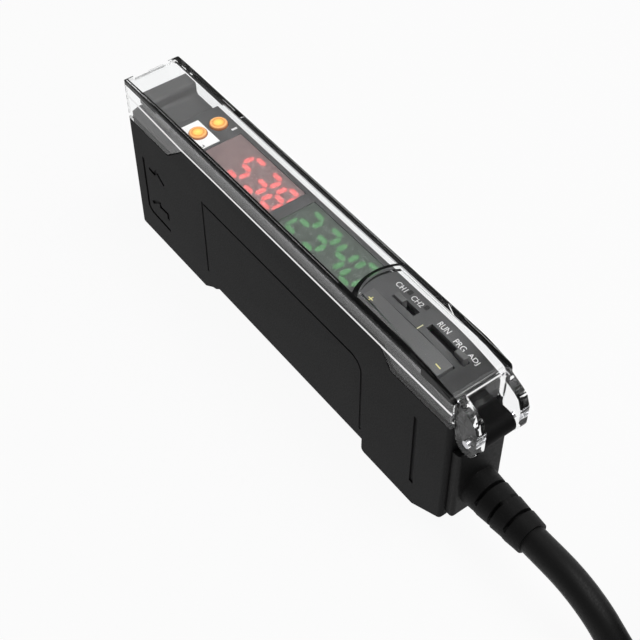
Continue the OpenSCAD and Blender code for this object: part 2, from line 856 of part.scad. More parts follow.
// Pointed bar between two corners of a digit
module segment(a, b) {
    u = unit(b - a);
    side = [-u[1], u[0]] * segment_w / 2;
    first = a + u * segment_gap;
    last = b - u * segment_gap;
    tip = u * segment_w / 2;
    upper = [first, first + tip + side, last - tip + side];
    lower = [last, last - tip - side, first + tip - side];
    polygon([for (p = concat(upper, lower)) slanted(p)]);
}

// The seven bars of one digit, standing on its lower left corner
module digit_bars() {
    for (row = [0 : 2]) {
        segment([0, row * digit_h / 2], [digit_w, row * digit_h / 2]);
    }
    for (column = [0, 1], row = [0, 1]) {
        segment([column * digit_w, row * digit_h / 2], [column * digit_w, (row + 1) * digit_h / 2]);
    }
}

module segments(x) {
    for (i = [0 : digits - 1]) {
        translate([x + digit_x0 + i * digit_pitch, -digit_h / 2, module_top])
            linear_extrude(segment_t) digit_bars();
    }
}

module display_module(x) {
    half = window_w / 2 - display_gap;
    block(x, x + window_l, -half, half, display_z, module_top);
}

module red_display() {
    color([0.25, 0.18, 0.18]) place() display_module(red_x);
}

module green_display() {
    color([0.17, 0.22, 0.18]) place() display_module(green_x);
}

module red_segments() {
    color([1, 0.42, 0.42]) place() segments(red_x);
}

module green_segments() {
    color([0.37, 0.7, 0.4]) place() segments(green_x);
}

lamp_rise = 0.3;
module output_lamp(y) {
    r = lamp_d / 2;
    shoulder = deck_z + 0.1;
    top = shoulder + lamp_rise;
    dome = corner([r, display_z], [r, top], [0, top], lamp_rise);
    translate([lamp_x, y, 0]) rotate_extrude()
        polygon(concat([[0, display_z], [r, display_z]], dome, [[0, top]]));
}

module output_lamp_1() {
    color(amber) place() output_lamp(lamp_pitch / 2);
}

module output_lamp_2() {
    color(amber) place() output_lamp(-lamp_pitch / 2);
}

label_t = 0.1;
module lamp_label() {
    color(white) place() difference() {
        block(lamp_x - 2.6, lamp_x + 3.3, -3.4, -0.15, deck_z, deck_z + label_t);
        translate([lamp_x, -lamp_pitch / 2, deck_z - over])
            cylinder(h = 2 * over, d = lamp_d + 2 * fit);
    }
}

// Keypad

axle_d = 1;
axle_z = display_z + 1.2;
lug_t = 0.55;
stem_y = rocker_w / 2 - 0.55;
stem_bottom = display_z + 0.95;
cap_bottom = deck_z - deck_t + 0.05;

// Side view of the rocker's cap, which follows the deck's curve
rocker_x0 = rocker_x - rocker_l / 2;
rocker_x1 = rocker_x + rocker_l / 2;
rocker_dip = 0.12;
rocker_curve = [for (i = [0 : 10]) rocker_x0 + rocker_l * i / 10];
function rocker_top(x) =
    deck_top(x) + rocker_rise - rocker_dip * pow(cos(180 * (x - rocker_x) / rocker_l), 2);
function rocker_outline() = concat(
    [[rocker_x1, deck_top(rocker_x1) - 0.6, 0], [rocker_x, cap_bottom, 0], [rocker_x0, cap_bottom, 0]],
    [for (x = rocker_curve) [x, rocker_top(x), 0]]
);

module rocker_button() {
    stem_l = rocker_l - 1.6;
    color([0.38, 0.38, 0.39]) place() difference() {
        union() {
            across(rocker_outline(), rocker_y - rocker_w / 2, rocker_y + rocker_w / 2);
            block(rocker_x - stem_l / 2, rocker_x + stem_l / 2, rocker_y - stem_y, rocker_y + stem_y,
                stem_bottom, cap_bottom + 0.1);
            rod_y(rocker_x, axle_z, 1.7, rocker_y - stem_y, rocker_y + stem_y);
        }
        rod_y(rocker_x, axle_z, axle_d + 2 * run_fit, rocker_y - rocker_w, rocker_y + rocker_w);
    }
}

lug_y = rocker_w / 2 - 0.5 + lug_t;
module rocker_axle() {
    color(steel) place() rod_y(rocker_x, axle_z, axle_d, rocker_y - lug_y + 0.1, rocker_y + lug_y - 0.1);
}

module rocker_bracket() {
    slot_r = axle_d / 2 + run_fit;
    color(chip_black) place() {
        for (side = [-1, 1]) {
            y0 = rocker_y + side * (lug_y - lug_t / 2) - lug_t / 2;
            difference() {
                block(rocker_x - 1, rocker_x + 1, y0, y0 + lug_t, display_z, axle_z + slot_r + 0.15);
                block(rocker_x - slot_r, rocker_x + slot_r, y0 - over, y0 + lug_t + over,
                    axle_z - slot_r - rocker_press, axle_z + slot_r);
            }
        }
    }
}

tact_places = [-6.3, -2.7, 6.3];
tact_half = 1.1;
tact_d = 1.2;
tact_plate = 0.25;
tact_h = 0.45;
module tact_switches() {
    color(steel) place() {
        for (x = tact_places) {
            translate([rocker_x + x, rocker_y, display_z]) {
                block(-tact_half, tact_half, -tact_half, tact_half, 0, tact_plate);
                cylinder(h = tact_h, d = tact_d);
            }
        }
    }
}

switch_h = 0.85;
switch_half_y = 1.3;
flange_h = 0.35;
flange_over = 0.35;
knob_rise = 0.45;

// Knob of a slide switch, with the flange that the deck keeps in place
module knob(x) {
    z0 = display_z + switch_h + 0.06;
    half = slot_half - 0.1;
    wide = slot_half + 0.3;
    top = deck_z + knob_rise;
    block(x - knob_l / 2 - flange_over, x + knob_l / 2 + flange_over,
        switch_y - wide, switch_y + wide, z0, z0 + flange_h);
    along([
        [switch_y - half, z0, 0], [switch_y + half, z0, 0], [switch_y + half, top, 0.15],
        [switch_y - half, top, 0.15]
    ], x - knob_l / 2, x + knob_l / 2);
}

// Body of a slide switch whose knob's centre runs from x0 to x1
module switch_body(x0, x1) {
    block(x0 - knob_l / 2 - 0.8, x1 + knob_l / 2 + 0.8, switch_y - switch_half_y, switch_y + switch_half_y,
        display_z, display_z + switch_h);
}

module channel_knob() {
    color(chip_black) place() knob(channel_x0);
}

module channel_switch_body() {
    color(steel) place() switch_body(channel_x0, channel_x0 + channel_travel);
}

module mode_knob() {
    color(chip_black) place() knob(mode_x1);
}

module mode_switch_body() {
    color(steel) place() switch_body(mode_x0, mode_x1);
}

// Rail latch

module rail_latch() {
    flange_x1 = front_foot - 2.6;
    tongue_top = hook_top - latch_gap / 2;
    color(case_black) place() {
        across([
            [latch_x0, hook_bottom, 0], [latch_x1 - 0.8, hook_bottom, 0], [latch_x1, hook_top - 0.5, 0],
            [latch_x1, tongue_top, 0], [latch_x0, tongue_top, 0]
        ], -latch_half, latch_half);
        block(latch_x0, flange_x1, -latch_flange_half, latch_flange_half,
            tongue_top, hook_top + latch_flange_h);
    }
}

// Leaf spring folded between the channel's end and the latch
spring_folds = 4;
spring_t = 0.25;
module latch_spring() {
    l = latch_x0 - latch_floor_x - 0.1;
    step = (l - spring_t) / spring_folds;
    reach = latch_flange_half - 0.3;
    color(steel) place() translate([latch_floor_x + 0.05, 0, hook_top]) {
        for (i = [0 : spring_folds]) {
            block(i * step, i * step + spring_t, -reach, reach, 0, latch_flange_h - 0.1);
        }
        for (i = [0 : spring_folds - 1]) {
            y = i % 2 == 0 ? reach - spring_t : -reach;
            block(i * step, (i + 1) * step + spring_t, y, y + spring_t, 0, latch_flange_h - 0.1);
        }
    }
}

// Cable

neck_l = 1.3;
neck_flange = 0.8;
block_inset = 0.8;
block_below = 4.4;
block_above = 9.6;
neck_x0 = case_l - end_wall - neck_l;
block_half_y = half_w - block_inset;
block_z0 = cable_z - block_below;
block_z1 = cable_z + block_above;
rib_step = 0.12;
slit_w = 0.55;
slit_d = 0.9;
bridge_w = 1.6;

module boot_ribs_body() {
    pitch = boot_l / boot_ribs;
    core_r = boot_d1 / 2 - slit_d;
    difference() {
        union() {
            for (i = [0 : boot_ribs - 1]) {
                r0 = (boot_d0 + (boot_d1 - boot_d0) * i / boot_ribs) / 2;
                r1 = (boot_d0 + (boot_d1 - boot_d0) * (i + 1) / boot_ribs) / 2;
                translate([boot_x0 + i * pitch - eps, 0, cable_z]) rotate([0, 90, 0])
                    cylinder(h = pitch + eps, r1 = r0, r2 = r1 - rib_step);
            }
        }
        for (i = [1 : boot_ribs - 1]) {
            translate([boot_x0 + i * pitch - slit_w / 2, 0, cable_z]) rotate([90 * (i % 2), 0, 0])
                difference() {
                    rod_x(0, 0, boot_d0 + over, 0, slit_w);
                    rod_x(0, 0, 2 * core_r, -over, slit_w + over);
                    block(-over, slit_w + over, -bridge_w / 2, bridge_w / 2, -boot_d0, boot_d0);
                }
        }
    }
}

module cable_boot() {
    color(boot_black) place() {
        intersection() {
            across(box_outline(case_l, block_z0, boot_x0, block_z1, 0.3), -block_half_y, block_half_y);
            upright([
                [case_l, -block_half_y, 0], [boot_x0, -block_half_y, 0.6], [boot_x0, block_half_y, 0.6],
                [case_l, block_half_y, 0]
            ], 0, rim_z);
        }
        block(case_l - end_wall, case_l + eps, -neck_half_y, neck_half_y, neck_z0, neck_z1);
        block(neck_x0, case_l - end_wall - fit, -neck_half_y, neck_half_y,
            neck_z0 - neck_flange, neck_z1 + neck_flange);
        block(neck_x0 + eps, case_l - end_wall + eps, -neck_half_y, neck_half_y, neck_z0, neck_z1);
        boot_ribs_body();
    }
}

// Route of the cable from the strain relief to its hank, in the object's own frame:
// a straight length, then two bends of one radius that take it down to the ground
cable_start = boot_x1 - mid_x;
cable_drop = cable_z - cable_d / 2 - fit;
cable_straight = 4.5;
bend_r = 18;
bend_l = sqrt(4 * bend_r * cable_drop - cable_drop * cable_drop);
bend_steps = 10;
cable_sides = 12;

// How far an arc of the bends has turned away from its tangent after a length s
function arc_fall(s) = bend_r - sqrt(bend_r * bend_r - s * s);
function cable_fall(s) = s < bend_l / 2 ? arc_fall(s) : cable_drop - arc_fall(bend_l - s);

cable_route = concat(
    [[cable_start, 0, cable_z]],
    [for (i = [0 : bend_steps])
        let (s = bend_l * i / bend_steps)
        [cable_start + cable_straight + s, 0, cable_z - cable_fall(s)]]
);

// The rest of the cable is folded into a hank: two turns across, lying on each other in layers
hank_across = 2;
hank_high = 5;
hank_run = 55;
hank_out = 38;
fold_r = 13.1;
hank_r0 = fold_r - cable_d / 2;
hank_r1 = hank_r0 + hank_across * cable_d;
hank_h = hank_high * cable_d;
hank_start = [cable_start + hank_out, hank_r1 - cable_d / 2];

// Ring of points round one point of the route, which runs in the X-Z plane
function route_ring(i) =
    let (
        n = len(cable_route),
        before = cable_route[max(i - 1, 0)],
        after = cable_route[min(i + 1, n - 1)],
        d = i == 0 ? [1, 0, 0] : (i == n - 1 ? [1, 0, 0] : unit(after - before)),
        up = [-d[2], 0, d[0]]
    )
    [for (k = [0 : cable_sides - 1])
        let (a = 360 * k / cable_sides)
        cable_route[i] + cable_d / 2 * (cos(a) * [0, 1, 0] + sin(a) * up)];

module cable() {
    n = len(cable_route);
    m = cable_sides;
    points = [for (i = [0 : n - 1]) each route_ring(i)];
    walls = [for (i = [0 : n - 2], k = [0 : m - 1])
        [i * m + k, (i + 1) * m + k, (i + 1) * m + (k + 1) % m, i * m + (k + 1) % m]];
    first = [for (k = [0 : m - 1]) k];
    last = [for (k = [m - 1 : -1 : 0]) (n - 1) * m + k];
    color(boot_black) polyhedron(points = points, faces = concat(walls, [first, last]));
}

// Moves the children to the middle of the hank's first fold
module at_hank() {
    translate([hank_start[0], hank_start[1], 0]) children();
}

// Long ring's outline between its two folds, filled
module racetrack(r, z0, z1) {
    translate([0, 0, z0]) {
        cylinder(h = z1 - z0, r = r);
        translate([hank_run, 0, 0]) cylinder(h = z1 - z0, r = r);
        translate([0, -r, 0]) cube([hank_run, 2 * r, z1 - z0]);
    }
}

tie_t = 0.5;
tie_w = 4;
end_l = 12;

// Band round one run of the hank, sunk by tie_t, that stands out of it by t
module tie_ring(t) {
    x = hank_run / 2;
    difference() {
        block(x - tie_w / 2, x + tie_w / 2, -hank_r1 - t, -hank_r0 + t, min(0, fit - t), hank_h + t);
        block(x - tie_w, x + tie_w, -hank_r1 + tie_t, -hank_r0 - tie_t, tie_t, hank_h - tie_t);
    }
}

module cable_hank() {
    color(boot_black) at_hank() difference() {
        racetrack(hank_r1, 0, hank_h);
        racetrack(hank_r0, -over, hank_h + over);
        tie_ring(over);
        block(hank_run - end_l, hank_run, -hank_r0 - cable_d, -hank_r0 + over, -over, cable_d);
    }
}

module hank_tie() {
    color(white) at_hank() tie_ring(fit);
}

module core_ends() {
    r = 1.2;
    bare_l = 9;
    color([0.6, 0.45, 0.3]) at_hank() {
        for (i = [0 : core_count - 1]) {
            a = 360 * i / core_count;
            rod_x(-hank_r0 - cable_d / 2 + r * cos(a), r + core_d / 2 + r * sin(a), core_d,
                hank_run - end_l, hank_run - end_l + bare_l);
        }
    }
}

case_body();
side_cover();
dust_cover();
hinge_pin();
clamp_lever();
clamp_pin();
clamp_jaw();
fibre_block();
port_gasket();
emitter_led();
receiver_diode();
main_board();
display_board();
board_header();
microcontroller();
power_inductor();
filter_capacitors();
output_transistors();
cable_cores();
display_deck();
red_window();
green_window();
red_display();
green_display();
red_segments();
green_segments();
output_lamp_1();
output_lamp_2();
lamp_label();
rocker_button();
rocker_axle();
rocker_bracket();
tact_switches();
channel_knob();
channel_switch_body();
mode_knob();
mode_switch_body();
rail_latch();
latch_spring();
cable_boot();
cable();
cable_hank();
hank_tie();
core_ends();
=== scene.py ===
# Slim rail amplifier for two plastic fibres: finishes, lettering, lit digits, cable, light and camera.
import json
import math

import bmesh
import bpy
from mathutils import Matrix, Vector


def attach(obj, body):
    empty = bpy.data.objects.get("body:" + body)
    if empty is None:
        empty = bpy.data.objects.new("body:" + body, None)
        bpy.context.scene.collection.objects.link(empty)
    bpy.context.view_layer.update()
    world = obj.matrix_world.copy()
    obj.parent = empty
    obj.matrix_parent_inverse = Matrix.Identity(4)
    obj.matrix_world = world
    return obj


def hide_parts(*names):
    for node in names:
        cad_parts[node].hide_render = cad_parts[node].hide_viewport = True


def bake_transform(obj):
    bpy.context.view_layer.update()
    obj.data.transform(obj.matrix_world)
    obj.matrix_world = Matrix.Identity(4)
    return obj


MM = 0.001
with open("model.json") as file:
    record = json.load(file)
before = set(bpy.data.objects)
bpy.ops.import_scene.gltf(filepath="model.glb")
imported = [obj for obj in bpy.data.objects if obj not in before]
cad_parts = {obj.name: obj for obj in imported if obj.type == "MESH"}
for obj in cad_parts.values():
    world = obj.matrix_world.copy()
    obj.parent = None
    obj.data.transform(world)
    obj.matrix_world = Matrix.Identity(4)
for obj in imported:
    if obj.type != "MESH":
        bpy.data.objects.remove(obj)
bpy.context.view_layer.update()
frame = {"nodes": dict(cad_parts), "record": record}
nodes = frame["nodes"]
scene = bpy.context.scene

# Places shared with the solids, in millimetres from the object's own origin
FIBRE_END = -44.7
CASE_END = 77.9 + FIBRE_END
DECK_Z = 28.2
DECK_CURVE_X = 66.1 + FIBRE_END
DECK_CURVE_R = 40.0
ROCKER_X = 64.5 + FIBRE_END
ROCKER_LENGTH = 16.2
ROCKER_RISE = 0.35
ROCKER_DIP = 0.12
LABEL_RISE = 0.1
LAMP_X = 15.7 + FIBRE_END
LAMP_Y = 1.85
LAMP_R = 1.45
CABLE_D = 4.3
CORE_Z = (6.0, 12.0)

# Painted shade on the clear cover: dark spans along its long top edges, which start from three heights along
# it, stand in for the dark look of a thick clear wall
COVER_TOP = 31.3
NEAR_EDGE_Y = (-5.1, -4.32)
FAR_EDGE_Y = (4.32, 5.1)
FAR_EDGE_SHARE = 0.9
EDGE_ZONES_XZ = (
    ((-2.0 + FIBRE_END, 9.0 + FIBRE_END), (29.35, COVER_TOP)),
    ((9.0 + FIBRE_END, 71.5 + FIBRE_END), (29.72, COVER_TOP)),
    ((71.5 + FIBRE_END, 80.0 + FIBRE_END), (28.75, COVER_TOP)),
)
# A thin line within the near edge that the painted shade leaves out, so that it stays bright
GLEAM_XY = ((FIBRE_END - 1, 54.0 + FIBRE_END), (-4.72, -4.58))
# The start of the far edge, where the wall turns the corner and the painted shade reaches further down and in
FAR_NOSE_XYZ = ((-2.0 + FIBRE_END, 13.3 + FIBRE_END), (4.1, 5.1), (28.9, COVER_TOP))
# The front of the bubble, painted dark as half a ring round its axis
BUBBLE_X = 62.5 + FIBRE_END
BUBBLE_RING = (6.5, 7.4)
BUBBLE_XZ = ((FIBRE_END, BUBBLE_X), (30.42, COVER_TOP))

# Painted highlights on the cover, which glows white along a line low on its near wall, which slopes at first,
# and along the top edge of its end
HIGHLIGHT_LINE_Y = (-5.2, -4.9)
HIGHLIGHT_SLOPE_X = (FIBRE_END, 16.0 + FIBRE_END)
HIGHLIGHT_SLOPE_Z = (27.45, 26.82)
HIGHLIGHT_LINE_W = 0.46
HIGHLIGHT_END_XYZ = ((77.2 + FIBRE_END, 78.4 + FIBRE_END), (-3.1, 3.3), (28.85, 29.07))


# Nodes of the finishes

# Noise seldom leaves this range
NOISE_RANGE = (0.3, 0.7)
NOISE_ROUGHNESS = 0.55
EDGE_SAMPLES = 6


def start_material(name):
    """A new material, its node tree and its Principled shader."""
    material = bpy.data.materials.new(name)
    material.use_nodes = True
    tree = material.node_tree
    return material, tree, tree.nodes["Principled BSDF"]


def add(tree, kind, **values):
    """A new node with some of its properties set."""
    node = tree.nodes.new(kind)
    for key, value in values.items():
        setattr(node, key, value)
    return node


def object_place(tree):
    """Object coordinates, which stay with the piece."""
    return add(tree, "ShaderNodeTexCoord").outputs["Object"]


def noise(tree, place, size_mm, detail=3.0):
    """Noise whose blotches are about size_mm wide."""
    node = add(tree, "ShaderNodeTexNoise")
    node.inputs["Scale"].default_value = 1.0 / (size_mm * MM)
    node.inputs["Detail"].default_value = detail
    node.inputs["Roughness"].default_value = NOISE_ROUGHNESS
    tree.links.new(place, node.inputs["Vector"])
    return node.outputs["Fac"]


def ramp(tree, factor, stops, interpolation="LINEAR"):
    """Colour ramp through (position, colour) stops."""
    node = add(tree, "ShaderNodeValToRGB")
    node.color_ramp.interpolation = interpolation
    elements = node.color_ramp.elements
    while len(elements) < len(stops):
        elements.new(0.5)
    for element, (position, colour) in zip(elements, stops):
        element.position = position
        element.color = (*colour, 1.0)
    tree.links.new(factor, node.inputs["Fac"])
    return node.outputs["Color"]


def two_tone(tree, factor, colour, low, high):
    """A colour that goes from one share of itself to another over the range of a noise."""
    tones = [tuple(min(1.0, channel * share) for channel in colour) for share in (low, high)]
    return ramp(tree, factor, list(zip(NOISE_RANGE, tones)))


def map_range(tree, value, source, target=(0.0, 1.0)):
    """A number carried from one range to another, and held at its ends."""
    node = add(tree, "ShaderNodeMapRange")
    for way, (low, high) in (("From", source), ("To", target)):
        node.inputs[way + " Min"].default_value = low
        node.inputs[way + " Max"].default_value = high
    tree.links.new(value, node.inputs["Value"])
    return node.outputs["Result"]


def sheen(tree, shader, factor, low, high):
    """Roughness that goes from low to high over the range of a noise."""
    tree.links.new(map_range(tree, factor, NOISE_RANGE, (low, high)), shader.inputs["Roughness"])


def relief(tree, shader, height, depth_mm, edge_mm=0.0):
    """Bump of the given depth, over edges softened to a radius of edge_mm."""
    bump = add(tree, "ShaderNodeBump")
    bump.inputs["Strength"].default_value = 1.0
    bump.inputs["Distance"].default_value = depth_mm * MM
    tree.links.new(height, bump.inputs["Height"])
    if edge_mm:
        edge = add(tree, "ShaderNodeBevel", samples=EDGE_SAMPLES)
        edge.inputs["Radius"].default_value = edge_mm * MM
        tree.links.new(edge.outputs["Normal"], bump.inputs["Normal"])
    tree.links.new(bump.outputs["Normal"], shader.inputs["Normal"])


def parted(tree, place):
    """The X, Y and Z of a place."""
    node = add(tree, "ShaderNodeSeparateXYZ")
    tree.links.new(place, node.inputs["Vector"])
    return [node.outputs[axis] for axis in "XYZ"]


def moved(tree, place, **change):
    """A place after a change of location, rotation or scale."""
    node = add(tree, "ShaderNodeMapping")
    for name, value in change.items():
        node.inputs[name].default_value = value
    tree.links.new(place, node.inputs["Vector"])
    return node.outputs["Vector"]


def combine(tree, operation, first, *others, clamp=True):
    """Numbers joined in turn by a Math operation, each result held between 0 and 1 if clamped."""
    for other in others:
        node = add(tree, "ShaderNodeMath", operation=operation, use_clamp=clamp)
        tree.links.new(first, node.inputs[0])
        tree.links.new(other, node.inputs[1])
        first = node.outputs["Value"]
    return first


def with_number(tree, operation, value, number):
    """A value joined to a fixed number by a Math operation."""
    node = add(tree, "ShaderNodeMath", operation=operation)
    node.inputs[1].default_value = number
    tree.links.new(value, node.inputs[0])
    return node.outputs["Value"]


def between(tree, length, low_mm, high_mm):
    """1 where a length lies between two others, and 0 elsewhere."""
    node = add(tree, "ShaderNodeMath", operation="COMPARE")
    node.inputs[1].default_value = (low_mm + high_mm) / 2 * MM
    node.inputs[2].default_value = (high_mm - low_mm) / 2 * MM
    tree.links.new(length, node.inputs[0])
    return node.outputs["Value"]


def inside(tree, lengths, spans):
    """1 where each length lies in its own span, and 0 elsewhere."""
    return combine(tree, "MULTIPLY", *[between(tree, length, *span) for length, span in zip(lengths, spans)])


def from_axis(tree, place, x_mm, y_mm):
    """Distance from an upright axis."""
    flat = add(tree, "ShaderNodeVectorMath", operation="MULTIPLY")
    flat.inputs[1].default_value = (1, 1, 0)
    tree.links.new(moved(tree, place, Location=(-x_mm * MM, -y_mm * MM, 0)), flat.inputs[0])
    distance = add(tree, "ShaderNodeVectorMath", operation="LENGTH")
    tree.links.new(flat.outputs["Vector"], distance.inputs[0])
    return distance.outputs["Value"]


def shade_painted_along(tree, place, colour, axis, start_mm, end_mm, share):
    """Painted shade: the colour, which falls to a share of it from one place to another along an axis."""
    length = parted(tree, place)["XYZ".index(axis)]
    level = map_range(tree, length, (start_mm * MM, end_mm * MM), (1.0, share))
    scaled = add(tree, "ShaderNodeVectorMath", operation="SCALE")
    tree.links.new(colour, scaled.inputs[0])
    tree.links.new(level, scaled.inputs["Scale"])
    return scaled.outputs["Vector"]


def mixed(tree, share, first, second):
    """Two shaders, mixed by the share of the second."""
    node = add(tree, "ShaderNodeMixShader")
    for output, socket in zip((share, first, second), node.inputs):
        tree.links.new(output, socket)
    return node.outputs["Shader"]


# Finishes

# Painted shade, as axis, start and end of a darkening and the share of the colour that is left: the cable
# end's face and the lower part of the deck are painted darker, as if in shade
CASE_END_SHADE = ("X", CASE_END - 0.4, CASE_END + 0.1, 0.2)
DECK_LOW_SHADE = ("Z", DECK_Z - 0.15, DECK_Z - 0.75, 0.25)
CLOUD_MM = 6.0
RIPPLE_MM = 9.0
HAZE = ((0.98, 0.985, 0.985), (0.99, 0.995, 0.995))
# Near-black colour of the painted shade along the cover's edges
PAINTED_EDGE_SHADE = (0.0015, 0.0015, 0.0015)
# Strength of the white glow that paints highlights on the cover
HIGHLIGHT_GLOW = 0.8
CLEAR_IOR = 1.2
CLEAR_SHEEN = (0.0, 0.02)
UNLIT = (0.2, 0.185, 0.185)
LAMP_GLOW = 0.28
# Colours of a lamp from its middle to its rim
LAMP_STOPS = (
    (0.0, (1.0, 0.62, 0.13)),
    (0.4, (0.95, 0.5, 0.1)),
    (0.62, (0.62, 0.24, 0.05)),
    (0.8, (0.85, 0.42, 0.14)),
    (0.97, (0.3, 0.1, 0.03)),
)
TRACK_PITCH = 4.0
TRACK_SHARE = 0.04
BOARD_COLOURS = {"Color1": (0.012, 0.09, 0.035), "Color2": (0.016, 0.11, 0.045), "Mortar": (0.06, 0.2, 0.08)}
CORE_COLOURS = (
    (0.12, 0.045, 0.02),
    (0.012, 0.012, 0.012),
    (0.75, 0.75, 0.73),
    (0.02, 0.06, 0.3),
    (0.22, 0.22, 0.22),
)


def moulding(name, colour, vary=0.12, rough=(0.45, 0.6), grain_mm=0.25, depth_mm=0.008, edge_mm=0.12,
             gloss=0.5, painted_shade=None):
    """Moulded plastic: faint clouding of the colour, uneven sheen and a fine spark-eroded grain."""
    material, tree, shader = start_material(name)
    place = object_place(tree)
    cloud = noise(tree, place, CLOUD_MM)
    grain = noise(tree, place, grain_mm, detail=2.0)
    tint = two_tone(tree, cloud, colour, 1 - vary, 1 + vary)
    # Painted shade: the colour darkens along an axis
    if painted_shade:
        tint = shade_painted_along(tree, place, tint, *painted_shade)
    tree.links.new(tint, shader.inputs["Base Color"])
    sheen(tree, shader, grain, *rough)
    shader.inputs["Specular IOR Level"].default_value = gloss
    relief(tree, shader, grain, depth_mm, edge_mm)
    return material


def printed(name, colour):
    """Screen-printed ink, slightly uneven."""
    return moulding(name, colour, vary=0.04, rough=(0.5, 0.65), grain_mm=0.12, depth_mm=0.001, edge_mm=0.0)


def painted_dark_edges(tree, place):
    """1 along the cover's long top edges and the front of its bubble, where the dark look of a thick clear
    wall is painted in as shade.
    """
    x, y, z = parted(tree, place)
    far = with_number(tree, "MULTIPLY", between(tree, y, *FAR_EDGE_Y), FAR_EDGE_SHARE)
    gleam = inside(tree, (x, y), GLEAM_XY)
    near = combine(tree, "SUBTRACT", between(tree, y, *NEAR_EDGE_Y), gleam)
    sides = combine(tree, "MAXIMUM", near, far)
    high = combine(tree, "MAXIMUM", *[inside(tree, (x, z), zone) for zone in EDGE_ZONES_XZ])
    edge = combine(tree, "MULTIPLY", sides, high)
    nose = inside(tree, (x, y, z), FAR_NOSE_XYZ)
    ring = between(tree, from_axis(tree, place, BUBBLE_X, 0.0), *BUBBLE_RING)
    front = combine(tree, "MULTIPLY", ring, inside(tree, (x, z), BUBBLE_XZ))
    return combine(tree, "MAXIMUM", edge, nose, front)


def painted_highlight_lines(tree, place):
    """1 along the line low on the cover's near wall and its end's top edge, where a white highlight is
    painted in as a glow.
    """
    x, y, z = parted(tree, place)
    level = map_range(tree, x, [length * MM for length in HIGHLIGHT_SLOPE_X],
                      [length * MM for length in HIGHLIGHT_SLOPE_Z])
    above = combine(tree, "SUBTRACT", z, level, clamp=False)
    side = inside(tree, (above, y), ((-HIGHLIGHT_LINE_W / 2, HIGHLIGHT_LINE_W / 2), HIGHLIGHT_LINE_Y))
    return combine(tree, "MAXIMUM", side, inside(tree, (x, y, z), HIGHLIGHT_END_XYZ))


def clear_moulding():
    """Clear polycarbonate, with the faint ripple of a moulded sheet. Lamps shine through it."""
    material, tree, shader = start_material("clear_cover")
    place = object_place(tree)
    ripple = noise(tree, place, RIPPLE_MM, detail=0.0)
    # The base colour is the haze, mixed with the near-black painted shade along the cover's edges
    # The Mix node has its colours in sockets 6 and 7, and the mixed one in output 2
    tint = add(tree, "ShaderNodeMix", data_type="RGBA")
    tree.links.new(painted_dark_edges(tree, place), tint.inputs[0])
    tree.links.new(ramp(tree, ripple, list(zip(NOISE_RANGE, HAZE))), tint.inputs[6])
    tint.inputs[7].default_value = (*PAINTED_EDGE_SHADE, 1)
    tree.links.new(tint.outputs[2], shader.inputs["Base Color"])
    sheen(tree, shader, ripple, *CLEAR_SHEEN)
    shader.inputs["Transmission Weight"].default_value = 1.0
    shader.inputs["IOR"].default_value = CLEAR_IOR
    relief(tree, shader, ripple, depth_mm=0.004)
    # Painted highlight: the cover glows white along these lines
    highlight_glow = add(tree, "ShaderNodeEmission")
    highlight_glow.inputs["Strength"].default_value = HIGHLIGHT_GLOW
    wall = mixed(tree, painted_highlight_lines(tree, place), shader.outputs["BSDF"], highlight_glow.outputs["Emission"])
    path = add(tree, "ShaderNodeLightPath")
    through = add(tree, "ShaderNodeBsdfTransparent")
    cover = mixed(tree, path.outputs["Is Shadow Ray"], wall, through.outputs["BSDF"])
    tree.links.new(cover, tree.nodes["Material Output"].inputs["Surface"])
    return material


def tinted_lens(name, colour, clear=1.0):
    """Tinted clear plastic with a faint mottle; what isn't clear of it scatters light."""
    material, tree, shader = start_material(name)
    mottle = noise(tree, object_place(tree), size_mm=1.5)
    tree.links.new(two_tone(tree, mottle, colour, 0.95, 1.05), shader.inputs["Base Color"])
    sheen(tree, shader, mottle, *CLEAR_SHEEN)
    shader.inputs["Transmission Weight"].default_value = clear
    shader.inputs["IOR"].default_value = CLEAR_IOR
    relief(tree, shader, mottle, depth_mm=0.0005)
    return material


def lit_bar(name, colour, strength):
    """Light bar of a digit, with slightly uneven glow."""
    material, tree, shader = start_material(name)
    glow = noise(tree, object_place(tree), size_mm=0.8)
    tint = two_tone(tree, glow, colour, 0.88, 1.0)
    tree.links.new(tint, shader.inputs["Base Color"])
    tree.links.new(tint, shader.inputs["Emission Color"])
    shader.inputs["Emission Strength"].default_value = strength
    sheen(tree, shader, glow, 0.3, 0.4)
    return material


def lamp_lens(name, y_mm):
    """Amber lamp: a bright middle that falls off to a deep orange rim."""
    material, tree, shader = start_material(name)
    place = object_place(tree)
    share = with_number(tree, "DIVIDE", from_axis(tree, place, LAMP_X, y_mm), LAMP_R * MM)
    glow = ramp(tree, share, LAMP_STOPS)
    tree.links.new(glow, shader.inputs["Base Color"])
    tree.links.new(glow, shader.inputs["Emission Color"])
    shader.inputs["Emission Strength"].default_value = LAMP_GLOW
    sheen(tree, shader, noise(tree, place, size_mm=0.6), 0.18, 0.3)
    return material


def metal(name, colour, rough, stretch=(1, 30, 30)):
    """Bare metal with fine drawn scratches."""
    material, tree, shader = start_material(name)
    drawn = moved(tree, object_place(tree), Scale=stretch)
    scratch = noise(tree, drawn, size_mm=2.0, detail=4.0)
    tree.links.new(two_tone(tree, scratch, colour, 0.85, 1.1), shader.inputs["Base Color"])
    shader.inputs["Metallic"].default_value = 1.0
    sheen(tree, shader, scratch, *rough)
    relief(tree, shader, scratch, depth_mm=0.003)
    return material


